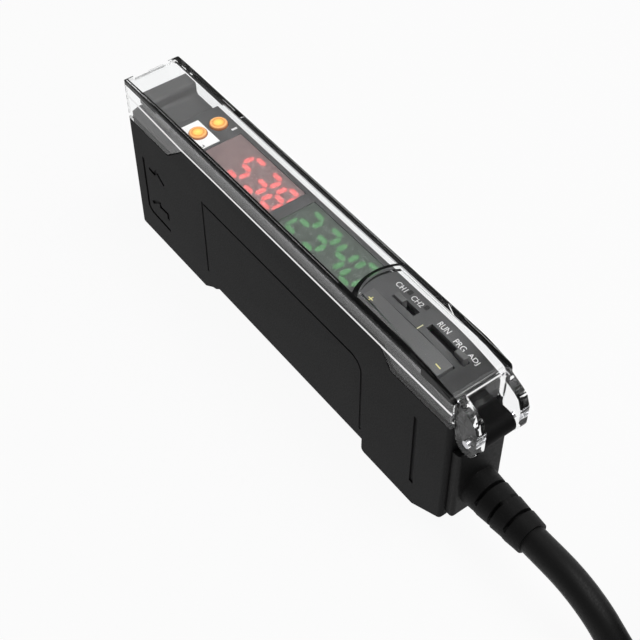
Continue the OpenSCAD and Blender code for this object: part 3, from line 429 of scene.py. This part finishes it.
def solder_mask():
    """Green circuit board: mask with tracks showing through as lighter lines."""
    material, tree, shader = start_material("board_mask")
    place = object_place(tree)
    tracks = add(tree, "ShaderNodeTexBrick")
    tracks.inputs["Scale"].default_value = 1.0 / (TRACK_PITCH * MM)
    tracks.inputs["Mortar Size"].default_value = TRACK_SHARE
    for name, colour in BOARD_COLOURS.items():
        tracks.inputs[name].default_value = (*colour, 1)
    turned = moved(tree, place, Rotation=(math.radians(90), 0, 0))
    tree.links.new(turned, tracks.inputs["Vector"])
    tree.links.new(tracks.outputs["Color"], shader.inputs["Base Color"])
    sheen(tree, shader, noise(tree, place, size_mm=0.5), 0.25, 0.4)
    relief(tree, shader, tracks.outputs["Fac"], depth_mm=0.02)
    return material


def striped_cores():
    """Insulation of the five cores, coloured by their height where they reach the board."""
    material, tree, shader = start_material("core_colours")
    place = object_place(tree)
    height = parted(tree, place)[2]
    share = map_range(tree, height, [length * MM for length in CORE_Z])
    stops = [(i / len(CORE_COLOURS), colour) for i, colour in enumerate(CORE_COLOURS)]
    tree.links.new(ramp(tree, share, stops, "CONSTANT"), shader.inputs["Base Color"])
    sheen(tree, shader, noise(tree, place, size_mm=0.8), 0.3, 0.45)
    return material


finishes = {
    "case_plastic": moulding("case_black", (0.0145, 0.0145, 0.015), rough=(0.55, 0.7), gloss=0.1,
                             painted_shade=CASE_END_SHADE),
    "clear_plastic": clear_moulding(),
    "lever_plastic": moulding("lever_grey", (0.11, 0.11, 0.11), vary=0.04, rough=(0.65, 0.75), grain_mm=0.2,
                              edge_mm=0.6, gloss=0.08),
    "black_plastic": moulding("part_black", (0.012, 0.012, 0.0125), rough=(0.4, 0.55), grain_mm=0.2,
                              gloss=0.25),
    "seal_rubber": moulding("seal_rubber", (0.02, 0.02, 0.02), rough=(0.7, 0.85), grain_mm=0.4,
                            depth_mm=0.02),
    "emitter_resin": tinted_lens("emitter_resin", (0.7, 0.06, 0.05)),
    "board": solder_mask(),
    "ferrite": moulding("ferrite", (0.1, 0.1, 0.11), vary=0.3, rough=(0.55, 0.8), grain_mm=0.15,
                        depth_mm=0.02),
    "capacitor_can": metal("capacitor_can", (0.55, 0.55, 0.57), (0.25, 0.4)),
    "core_insulation": striped_cores(),
    "deck_plastic": moulding("deck_film", (0.085, 0.085, 0.086), vary=0.06, rough=(0.45, 0.6), grain_mm=0.18,
                             gloss=0.25, painted_shade=DECK_LOW_SHADE),
    "red_lens": tinted_lens("red_lens", (0.46, 0.35, 0.345), clear=0.55),
    "green_lens": tinted_lens("green_lens", (0.21, 0.24, 0.215), clear=0.55),
    "display_face": moulding("display_face", UNLIT, vary=0.04, rough=(0.5, 0.7), grain_mm=0.3),
    "red_light": lit_bar("red_light", (1.0, 0.13, 0.13), 5.0),
    "green_light": lit_bar("green_light", (0.14, 0.6, 0.17), 4.5),
    "red_unlit": moulding("red_unlit", UNLIT, vary=0.04, rough=(0.5, 0.7), edge_mm=0.0),
    "green_unlit": moulding("green_unlit", UNLIT, vary=0.04, rough=(0.5, 0.7), edge_mm=0.0),
    "amber_lamp": lamp_lens("amber_lamp", LAMP_Y),
    "white_label": printed("label_film", (0.86, 0.86, 0.86)),
    "button_plastic": moulding("button_grey", (0.095, 0.095, 0.095), vary=0.06, rough=(0.4, 0.55),
                               grain_mm=0.18),
    "steel": metal("steel", (0.6, 0.6, 0.62), (0.25, 0.4)),
    "boot_pvc": moulding("boot_black", (0.006, 0.006, 0.006), rough=(0.5, 0.65), grain_mm=0.3, depth_mm=0.012,
                         gloss=0.15),
    "cable_pvc": moulding("cable_jacket", (0.006, 0.006, 0.006), rough=(0.45, 0.6), grain_mm=0.3, edge_mm=0.0,
                          gloss=0.2),
    "tie_nylon": moulding("tie_nylon", (0.75, 0.75, 0.72), vary=0.05, rough=(0.3, 0.45), edge_mm=0.05),
}

for part in frame["record"]["subparts"]:
    slots = nodes[part["node"]].data.materials
    slots.clear()
    slots.append(finishes[part["material_slot"]])
nodes["output_lamp_2"].data.materials[0] = lamp_lens("amber_lamp_near", -LAMP_Y)
for switch_piece in ("channel_knob", "channel_switch_body", "mode_knob", "mode_switch_body"):
    nodes[switch_piece].data.materials[0] = finishes["button_plastic"]


# Helpers for new pieces

SHARP_ANGLE = 35


def put(name, data):
    """A new object in the scene."""
    thing = bpy.data.objects.new(name, data)
    scene.collection.objects.link(thing)
    return thing


def piece_from(name, mesh_maker, materials, body, slot_name, *stood_for):
    """A mesh piece made in a bmesh, which rides on a body if one is named."""
    shape = bmesh.new()
    mesh_maker(shape)
    mesh = bpy.data.meshes.new(name)
    shape.to_mesh(mesh)
    shape.free()
    for material in materials:
        mesh.materials.append(material)
    piece = put(name, mesh)
    if body:
        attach(piece, body)
    if stood_for:
        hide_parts(*stood_for)
    return piece


def smooth(piece):
    """Smooth shading that keeps the sharper edges."""
    mesh = piece.data
    mesh.set_sharp_from_angle(angle=math.radians(SHARP_ANGLE))
    for face in mesh.polygons:
        face.use_smooth = True


def soften(shape, geom, offset, segments, affect="EDGES"):
    """Bevels edges or corners."""
    bmesh.ops.bevel(shape, geom=geom, offset=offset, affect=affect, segments=segments, profile=0.5,
                    material=-1)


def thicken(shape, faces, height):
    """Draws flat faces up along Z."""
    grown = bmesh.ops.extrude_face_region(shape, geom=faces)
    lifted = [item for item in grown["geom"] if isinstance(item, bmesh.types.BMVert)]
    bmesh.ops.translate(shape, vec=(0, 0, height), verts=lifted)


def added_faces(shape, before):
    """The faces that weren't there before."""
    return [face for face in shape.faces if face not in before]


def settle(shape, before, place, material):
    """Puts the faces that weren't there before in their place and gives them a material."""
    faces = added_faces(shape, before)
    corners = list({corner for face in faces for corner in face.verts})
    bmesh.ops.transform(shape, matrix=place, verts=corners)
    for face in faces:
        face.material_index = material


def to_metres(shape):
    """Scales a shape that was drawn in millimetres."""
    bmesh.ops.scale(shape, vec=(MM, MM, MM), verts=shape.verts)


# Camera, from the photograph's viewing angle

CAMERA_EYE = (0.10144, -0.07614, 0.15606)
CAMERA_RIGHT = (0.600006, 0.799991, -0.002757)
CAMERA_UP = (-0.600803, 0.452883, 0.658736)
CAMERA_BACK = (0.528231, -0.393589, 0.752369)

lens = bpy.data.cameras.new("camera")
lens.lens = 72.898
lens.sensor_width = 36.0
lens.shift_x = -0.00218
lens.shift_y = 0.0006
lens.clip_start = 0.01
camera = put("camera", lens)
camera_turn = Matrix((CAMERA_RIGHT, CAMERA_UP, CAMERA_BACK)).transposed().to_4x4()
camera.matrix_world = Matrix.Translation(CAMERA_EYE) @ camera_turn
scene.camera = camera


# Steel pieces of the latch spring and the tact switches, each shown as a piece of its own


def give_way(name, node):
    """Shows a node as a steel piece of its own, which rides on no body."""
    def copied(shape):
        shape.from_mesh(nodes[node].data)
    piece = piece_from(name, copied, [finishes["steel"]], None, "steel", node)
    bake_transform(piece)


give_way("spring_strip", "latch_spring")
give_way("tact_domes", "tact_switches")


# Lit digits. DIGIT_X and DIGIT_Y shift them from the start and the middle of their window.

DIGIT_PITCH = 4.13
DIGIT_W = 2.6
DIGIT_H = 4.9
DIGIT_SLANT = 0.09
DIGIT_X = 0.35
DIGIT_Y = 0.17
BAR_W = 0.76
BAR_GAP = 0.33
BAR_T = 0.2
BAR_POINT = 0.45 * BAR_W
MODULE_TOP = 27.1
RED_X = 19.5 + FIBRE_END
GREEN_X = 38.0 + FIBRE_END

# Column, row and whether the bar stands upright, from the digit's lower left corner
BARS = {
    "bottom": (0, 0, False), "middle": (0, 1, False), "top": (0, 2, False), "low_left": (0, 0, True),
    "low_right": (1, 0, True), "high_left": (0, 1, True), "high_right": (1, 1, True),
}
LIT_BARS = {
    " ": (),
    "0": ("bottom", "top", "low_left", "low_right", "high_left", "high_right"),
    "2": ("bottom", "middle", "top", "low_left", "high_right"),
    "3": ("bottom", "middle", "top", "low_right", "high_right"),
    "4": ("middle", "low_right", "high_left", "high_right"),
    "5": ("bottom", "middle", "top", "low_right", "high_left"),
    "8": tuple(BARS),
}


def light_bar(shape, length, place, material):
    """One bar with pointed ends, along X before it is put in its place."""
    before = set(shape.faces)
    made = bmesh.ops.create_grid(shape, x_segments=1, y_segments=1, size=0.5)
    bmesh.ops.scale(shape, vec=(length, BAR_W, 1), verts=made["verts"])
    soften(shape, made["verts"], BAR_POINT, 1, "VERTICES")
    thicken(shape, added_faces(shape, before), BAR_T)
    bmesh.ops.recalc_face_normals(shape, faces=added_faces(shape, before))
    settle(shape, before, place, material)


def digit_maker(number, x):
    """Makes the bars of a number's digits; unlit ones get the second material."""
    def make(shape):
        slant = Matrix(((1, DIGIT_SLANT, 0, 0), (0, 1, 0, 0), (0, 0, 1, 0), (0, 0, 0, 1)))
        for i, digit in enumerate(number):
            corner = Matrix.Translation((x + DIGIT_X + i * DIGIT_PITCH, DIGIT_Y - DIGIT_H / 2, MODULE_TOP))
            for bar, (column, row, upright) in BARS.items():
                length = (DIGIT_H / 2 if upright else DIGIT_W) - 2 * BAR_GAP
                across = column if upright else 0.5
                up = row + 0.5 if upright else row
                middle = Matrix.Translation((across * DIGIT_W, up * DIGIT_H / 2, 0))
                turned = Matrix.Rotation(math.radians(90 if upright else 0), 4, "Z")
                light_bar(shape, length, corner @ slant @ middle @ turned, 0 if bar in LIT_BARS[digit] else 1)
        to_metres(shape)
    return make


piece_from("red_digits", digit_maker(" 538", RED_X), [finishes["red_light"], finishes["red_unlit"]], "case",
           "red_light", "red_segments")
piece_from("green_digits", digit_maker("2340", GREEN_X), [finishes["green_light"], finishes["green_unlit"]],
           "case", "green_light", "green_segments")


# Printed marks. Their places are measured along the case from its fibre end, and across it from its middle.

INK_T = 0.03
INK_SUNK = 0.01
# Share of a dash's or patch's smaller side that each rounded corner takes
MARK_ROUND = 0.2
inks = {
    "white": printed("white_ink", (0.7, 0.7, 0.7)),
    "yellow": printed("yellow_ink", (0.74, 0.68, 0.28)),
    "pale": printed("pale_ink", (0.6, 0.58, 0.34)),
    "black": printed("black_ink", (0.012, 0.012, 0.012)),
}


def deck_height(x):
    """Height and slope of the deck's top, which falls away towards the cable end."""
    past = max(0.0, x - DECK_CURVE_X)
    return DECK_Z - past * past / (2 * DECK_CURVE_R), -past / DECK_CURVE_R


def rocker_height(x):
    """Height and slope of the rocker's top, hollowed in its middle."""
    turn = math.pi * (x - ROCKER_X) / ROCKER_LENGTH
    height, slope = deck_height(x)
    hollow = ROCKER_DIP * math.cos(turn) ** 2
    return height + ROCKER_RISE - hollow, slope + ROCKER_DIP * math.sin(2 * turn) * math.pi / ROCKER_LENGTH


def label_height(x):
    """Height and slope of the white plate round the near lamp, which is level."""
    return DECK_Z + LABEL_RISE, 0.0


def outline_of(words):
    """Mesh of some words in the built-in font, one unit thick."""
    curve = bpy.data.curves.new("words", "FONT")
    curve.body = words
    curve.extrude = 0.5
    words_object = put("words", curve)
    depsgraph = bpy.context.evaluated_depsgraph_get()
    mesh = bpy.data.meshes.new_from_object(words_object.evaluated_get(depsgraph))
    bpy.data.objects.remove(words_object)
    return mesh


def lay_ink(shape, along, across, size, surface):
    """Sizes the shape to a width and height and lays it on a surface."""
    low = Vector([min(corner.co[i] for corner in shape.verts) for i in range(3)])
    high = Vector([max(corner.co[i] for corner in shape.verts) for i in range(3)])
    reach = high - low
    bmesh.ops.translate(shape, vec=-(low + high) / 2, verts=shape.verts)
    bmesh.ops.scale(shape, vec=(size[0] / reach.x, size[1] / reach.y, INK_T / reach.z), verts=shape.verts)
    x = along + FIBRE_END
    height, slope = surface(x)
    tilt = Matrix.Rotation(-math.atan(slope), 4, "Y")
    place = Matrix.Translation((x, across, height + INK_T / 2 - INK_SUNK))
    bmesh.ops.transform(shape, matrix=place @ tilt, verts=shape.verts)
    to_metres(shape)


def printed_words(name, words, along, across, size, ink, body="case", surface=deck_height):
    """Printed words of a width and height."""
    def make(shape):
        shape.from_mesh(outline_of(words))
        lay_ink(shape, along, across, size, surface)
    piece_from(name, make, [inks[ink]], body, "white_label")


def printed_bar(name, along, across, size, ink, body="case", surface=deck_height):
    """A printed dash or patch with rounded corners."""
    def make(shape):
        bmesh.ops.create_grid(shape, x_segments=1, y_segments=1, size=0.5)
        bmesh.ops.scale(shape, vec=(*size, 1), verts=shape.verts)
        soften(shape, list(shape.verts), MARK_ROUND * min(size), 3, "VERTICES")
        thicken(shape, list(shape.faces), INK_T)
        bmesh.ops.recalc_face_normals(shape, faces=shape.faces)
        lay_ink(shape, along, across, size, surface)
    piece_from(name, make, [inks[ink]], body, "white_label")


printed_words("word_run", "RUN", 67.15, 2.7, (2.05, 0.92), "white")
printed_words("word_prg", "PRG", 70.5, 2.5, (1.92, 0.92), "white")
printed_words("word_adj", "ADJ", 73.1, 2.55, (1.85, 0.92), "white")
printed_words("word_ch1", "CH1", 58.2, 2.85, (1.9, 0.85), "white")
printed_words("word_ch2", "CH2", 61.5, 2.85, (2.1, 0.85), "white")
printed_bar("patch_ch1", 59.7, 3.1, (0.7, 0.8), "black")
printed_bar("patch_ch2", 63.1, 3.1, (0.7, 0.8), "black")
printed_words("mark_plus", "+", 57.6, -2.0, (0.85, 0.85), "yellow", "rocker", rocker_height)
printed_bar("mark_minus", 71.57, -2.14, (0.95, 0.17), "yellow", "rocker", rocker_height)
printed_bar("mark_middle", 65.1, 0.25, (0.16, 1.1), "pale")
printed_words("lamp_number_1", "1", 18.0, 3.15, (0.4, 0.95), "white")
printed_words("lamp_number_2", "2", 18.57, -3.04, (0.6, 0.9), "black", surface=label_height)


# Cable: straight out of the strain relief, down to the ground, then folded into a tied hank

CABLE_START = 45.3
CABLE_Z = 9.0
CABLE_LOW = CABLE_D / 2 + 0.05
CABLE_STRAIGHT = 4.5
BEND_R = 18.0
BEND_STEPS = 10
# Knots on the ground between the bend and the hank, as distances from the cable's start
GROUND_KNOTS = (29, 32, 35)
HANK_OUT = 38.0
HANK_RUN = 55.0
HANK_HIGH = 5
HANK_LAPS = 2 * HANK_HIGH - 1
FOLD_R = 13.1
OUTER_R = FOLD_R + CABLE_D
HANK_START = Vector((CABLE_START + HANK_OUT, OUTER_R, 0))
# Knots of a whole turn, in quarters of it: the run, the far fold, the run back and the near fold
TURN_KNOTS = (
    0, 0.36, 0.44, 0.56, 0.64,
    1, 7 / 6, 8 / 6, 9 / 6, 10 / 6, 11 / 6,
    2, 2.25, 2.5, 2.75,
    3, 19 / 6, 20 / 6, 21 / 6, 22 / 6, 23 / 6,
)
# The last run stops short by END_L; its knots are shares of it
END_L = 12.0
LAST_RUN = (HANK_RUN - END_L) / HANK_RUN
LAST_KNOTS = (0, 0.3, 0.46, 0.57, 0.72, 0.86, 1)

# The tie: its strap, over which the runs rise a little, and its locking head and tail as sizes and places
TIE_T = 0.5
TIE_W = 4.0
TIE_ROUND = 1.6
TIE_RISE_L = 12
TIE_WIDE = 2 * CABLE_D + 2 * TIE_T
TIE_HIGH = HANK_HIGH * CABLE_D + 2 * TIE_T
HEAD_SIZE = (2.6, 5.2, TIE_W + 1.4)
HEAD_PLACE = (-TIE_WIDE / 2 - 1.2, 1.5, TIE_W / 2)
HEAD_ROUND = 0.5
TAIL_SIZE = (TIE_T * 2, 7.0, TIE_W - 0.6)
TAIL_PLACE = (-TIE_WIDE / 2 - 1.6, 6.5, TIE_W / 2)

# The cores beyond the jacket
CORE_D = 0.9
CORE_L = 9.0
CORE_SUNK = 0.6
CORE_RING_R = 1.2
CORE_FAN_Y = 0.035
CORE_FAN_Z = 0.02
BARE_D = 0.5
BARE_L = 3.0
ROD_ROUND = 0.08
ROD_SEGMENTS = 16
RIM_ANGLE = 1.0


def ease(share):
    """Runs smoothly from 0 to 1 as the share does."""
    share = min(1.0, max(0.0, share))
    return share * share * (3 - 2 * share)


def hank_point(turn):
    """Centre of the cable after so many turns: up the outer turns, across the top and down the inner ones.
    Each turn is a run, the far fold, the run back and the near fold."""
    lap = int(turn)
    quarter, along = divmod((turn - lap) * 4, 1)
    inwards = 0.0 if lap < HANK_HIGH - 1 else 1.0
    if lap < HANK_HIGH:
        layer = lap + (ease(along) if quarter == 3 and lap < HANK_HIGH - 1 else 0.0)
        if lap == HANK_HIGH - 1:
            inwards = 0.0 if quarter < 2 else (ease(along) if quarter == 2 else 1.0)
    else:
        gone = ease(along) if quarter == 1 else float(quarter > 1)
        layer = HANK_LAPS - lap - gone
    radius = OUTER_R - CABLE_D * inwards
    lift = 0.0
    if quarter in (0, 2):
        run = HANK_RUN * (along if quarter == 0 else 1 - along)
        place = Vector((run, -radius if quarter == 0 else radius, 0))
        if quarter == 0:
            lift = TIE_T * (1 - ease((abs(run - HANK_RUN / 2) - TIE_W / 2) / TIE_RISE_L))
    else:
        way = math.pi * along
        bulge = radius * math.sin(way)
        place = Vector((HANK_RUN + bulge, -radius * math.cos(way), 0))
        if quarter == 3:
            place = Vector((-bulge, radius * math.cos(way), 0))
    place.z = CABLE_LOW + CABLE_D * max(0.0, layer) + lift
    return HANK_START + place


def cable_points():
    """The cable's centreline, in millimetres."""
    drop = CABLE_Z - CABLE_LOW
    bend_length = math.sqrt(4 * BEND_R * drop - drop * drop)
    points = [Vector((CABLE_START, 0, CABLE_Z)), Vector((CABLE_START + CABLE_STRAIGHT / 2, 0, CABLE_Z))]
    for i in range(BEND_STEPS + 1):
        gone = bend_length * min(i, BEND_STEPS - i) / BEND_STEPS
        fall = BEND_R - math.sqrt(BEND_R ** 2 - gone ** 2)
        height = CABLE_Z - fall if i < BEND_STEPS / 2 else CABLE_LOW + fall
        points.append(Vector((CABLE_START + CABLE_STRAIGHT + bend_length * i / BEND_STEPS, 0, height)))
    points += [Vector((CABLE_START + knot, 0, CABLE_LOW)) for knot in GROUND_KNOTS]
    for lap in range(HANK_LAPS):
        points += [hank_point(lap + knot / 4) for knot in TURN_KNOTS]
    points += [hank_point(HANK_LAPS + knot * LAST_RUN / 4) for knot in LAST_KNOTS]
    return points


def make_cable():
    """The cable as a round curve, which rides on the case."""
    curve = bpy.data.curves.new("signal_cable", "CURVE")
    curve.dimensions = "3D"
    curve.bevel_depth = CABLE_D / 2 * MM
    curve.bevel_resolution = 5
    curve.resolution_u = 4
    curve.use_fill_caps = True
    points = cable_points()
    spline = curve.splines.new("BEZIER")
    spline.bezier_points.add(len(points) - 1)
    for knot, point in zip(spline.bezier_points, points):
        knot.co = point * MM
        knot.handle_left_type = "AUTO"
        knot.handle_right_type = "AUTO"
    curve.materials.append(finishes["cable_pvc"])
    cable = put("signal_cable", curve)
    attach(cable, "case")
    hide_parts("cable", "cable_hank")
    return cable


def add_block(shape, size, place):
    """A block with its middle at a place."""
    block = bmesh.ops.create_cube(shape, size=1.0)
    bmesh.ops.scale(shape, vec=size, verts=block["verts"])
    bmesh.ops.translate(shape, vec=place, verts=block["verts"])
    return block["verts"]


def tie_strap(shape):
    """Strap round one run of the hank, with its locking head and tail outside. It is drawn lying down."""
    bmesh.ops.create_circle(shape, cap_ends=True, segments=4, radius=math.sqrt(0.5))
    eighth = Matrix.Rotation(math.radians(45), 3, "Z")
    bmesh.ops.rotate(shape, verts=shape.verts, cent=(0, 0, 0), matrix=eighth)
    bmesh.ops.scale(shape, vec=(TIE_WIDE, TIE_HIGH, 1), verts=shape.verts)
    soften(shape, list(shape.verts), TIE_ROUND, 5, "VERTICES")
    ring = bmesh.ops.inset_individual(shape, faces=list(shape.faces), thickness=TIE_T, use_even_offset=True)
    middle = [face for face in shape.faces if face not in ring["faces"]]
    bmesh.ops.delete(shape, geom=middle, context="FACES_ONLY")
    thicken(shape, list(shape.faces), TIE_W)
    head = add_block(shape, HEAD_SIZE, HEAD_PLACE)
    soften(shape, list({edge for corner in head for edge in corner.link_edges}), HEAD_ROUND, 3)
    add_block(shape, TAIL_SIZE, TAIL_PLACE)
    bmesh.ops.recalc_face_normals(shape, faces=shape.faces)
    middle_run = HANK_START + Vector((HANK_RUN / 2 - TIE_W / 2, -OUTER_R + CABLE_D / 2, TIE_HIGH / 2))
    upright = Matrix(((0, 0, 1, 0), (1, 0, 0, 0), (0, 1, 0, 0), (0, 0, 0, 1)))
    bmesh.ops.transform(shape, matrix=Matrix.Translation(middle_run) @ upright, verts=shape.verts)
    to_metres(shape)


def add_rod(shape, axis, d, first, last, material):
    """A round rod with softened ends, from one place to another along an axis."""
    before = set(shape.faces)
    made = bmesh.ops.create_cone(shape, cap_ends=True, segments=ROD_SEGMENTS, radius1=d / 2, radius2=d / 2,
                                 depth=last - first)
    edges = {edge for corner in made["verts"] for edge in corner.link_edges}
    soften(shape, [edge for edge in edges if abs(edge.calc_face_angle(0.0)) > RIM_ANGLE], ROD_ROUND, 2)
    lean = Matrix.Rotation(math.radians(90), 4, "Y")
    settle(shape, before, axis @ Matrix.Translation(((first + last) / 2, 0, 0)) @ lean, material)


def core_ends(shape):
    """The five cores beyond the jacket, fanned a little, with bare tips; copper is the last material."""
    start = hank_point(HANK_LAPS + LAST_RUN / 4)
    for i in range(len(CORE_COLOURS)):
        way = 2 * math.pi * i / len(CORE_COLOURS)
        side = Vector((0, math.cos(way), math.sin(way)))
        fan = Matrix.Shear("YZ", 4, (side.y * CORE_FAN_Y, side.z * CORE_FAN_Z))
        axis = Matrix.Translation(start + side * CORE_RING_R) @ fan
        add_rod(shape, axis, CORE_D, -CORE_SUNK, CORE_L - BARE_L, i)
        add_rod(shape, axis, BARE_D, 0, CORE_L, len(CORE_COLOURS))
    to_metres(shape)


cable = make_cable()
tie = piece_from("cable_tie", tie_strap, [finishes["tie_nylon"]], "case", "tie_nylon", "hank_tie")
core_finishes = [
    moulding("core_%d" % i, colour, vary=0.05, rough=(0.3, 0.45), edge_mm=0.0)
    for i, colour in enumerate(CORE_COLOURS)
]
core_finishes.append(metal("copper_strands", (0.72, 0.38, 0.24), (0.25, 0.4), stretch=(2, 40, 40)))
cores = piece_from("stripped_cores", core_ends, core_finishes, "case", "core_insulation", "core_ends")
smooth(tie)
smooth(cores)


# Floor, light and background

FLOOR_HALF = 1.5
FLOOR_DROP = 0.00005
FLOOR_GREY = (0.7, 0.7, 0.7)
FLOOR_WHITE = 0.94
WORLD_LIGHT = 0.5
DIM = (0.3, 0.3, 0.3)
BRIGHT = (1, 1, 1)
BACKDROP_WAY = (-0.55, 0.42, -0.72)
BACKDROP_EDGE = (0.42, 0.6)
SOFTBOX_PLACE = (0.25, 0.2, 0.6)
SOFTBOX_AIM = (0, 0, 0.02)
SOFTBOX_SIZE = 0.4
SOFTBOX_POWER = 2.6


def background_share(tree, share):
    """Share of a plain white that camera, mirror and see-through rays find."""
    path = add(tree, "ShaderNodeLightPath")
    rays = [path.outputs["Is %s Ray" % kind] for kind in ("Camera", "Glossy", "Transmission")]
    return with_number(tree, "MULTIPLY", combine(tree, "MAXIMUM", *rays), share)


def make_floor():
    """A floor that is nearly white to the camera, but keeps the object's shadow."""
    material, tree, shader = start_material("studio_floor")
    shader.inputs["Base Color"].default_value = (*FLOOR_GREY, 1)
    shader.inputs["Roughness"].default_value = 0.9
    shader.inputs["Specular IOR Level"].default_value = 0.0
    glow = add(tree, "ShaderNodeEmission")
    glow.inputs["Strength"].default_value = 1.0
    white = background_share(tree, FLOOR_WHITE)
    surface = mixed(tree, white, shader.outputs["BSDF"], glow.outputs["Emission"])
    tree.links.new(surface, tree.nodes["Material Output"].inputs["Surface"])
    shape = bmesh.new()
    bmesh.ops.create_grid(shape, x_segments=1, y_segments=1, size=FLOOR_HALF)
    mesh = bpy.data.meshes.new("floor")
    shape.to_mesh(mesh)
    shape.free()
    mesh.materials.append(material)
    floor = put("floor", mesh)
    floor.location = (0, 0, -FLOOR_DROP)


def make_world():
    """A bright backdrop on the side that the camera looks at, and a dim room elsewhere."""
    world = bpy.data.worlds.new("studio")
    world.use_nodes = True
    tree = world.node_tree
    sky = tree.nodes["Background"]
    facing = add(tree, "ShaderNodeVectorMath", operation="DOT_PRODUCT")
    facing.inputs[1].default_value = BACKDROP_WAY
    tree.links.new(add(tree, "ShaderNodeTexCoord").outputs["Generated"], facing.inputs[0])
    share = map_range(tree, facing.outputs["Value"], (-1.0, 1.0))
    tree.links.new(ramp(tree, share, list(zip(BACKDROP_EDGE, (DIM, BRIGHT)))), sky.inputs["Color"])
    level = with_number(tree, "ADD", background_share(tree, 1.0 - WORLD_LIGHT), WORLD_LIGHT)
    tree.links.new(level, sky.inputs["Strength"])
    scene.world = world


def make_softbox():
    """One square lamp, high above the far side of the cable end."""
    lamp = bpy.data.lights.new("top_softbox", "AREA")
    lamp.shape = "SQUARE"
    lamp.size = SOFTBOX_SIZE
    lamp.energy = SOFTBOX_POWER
    holder = put("top_softbox", lamp)
    holder.location = SOFTBOX_PLACE
    holder.rotation_euler = (Vector(SOFTBOX_AIM) - Vector(SOFTBOX_PLACE)).to_track_quat("-Z", "Y").to_euler()


make_floor()
make_world()
make_softbox()


scene.view_settings.view_transform = "Standard"
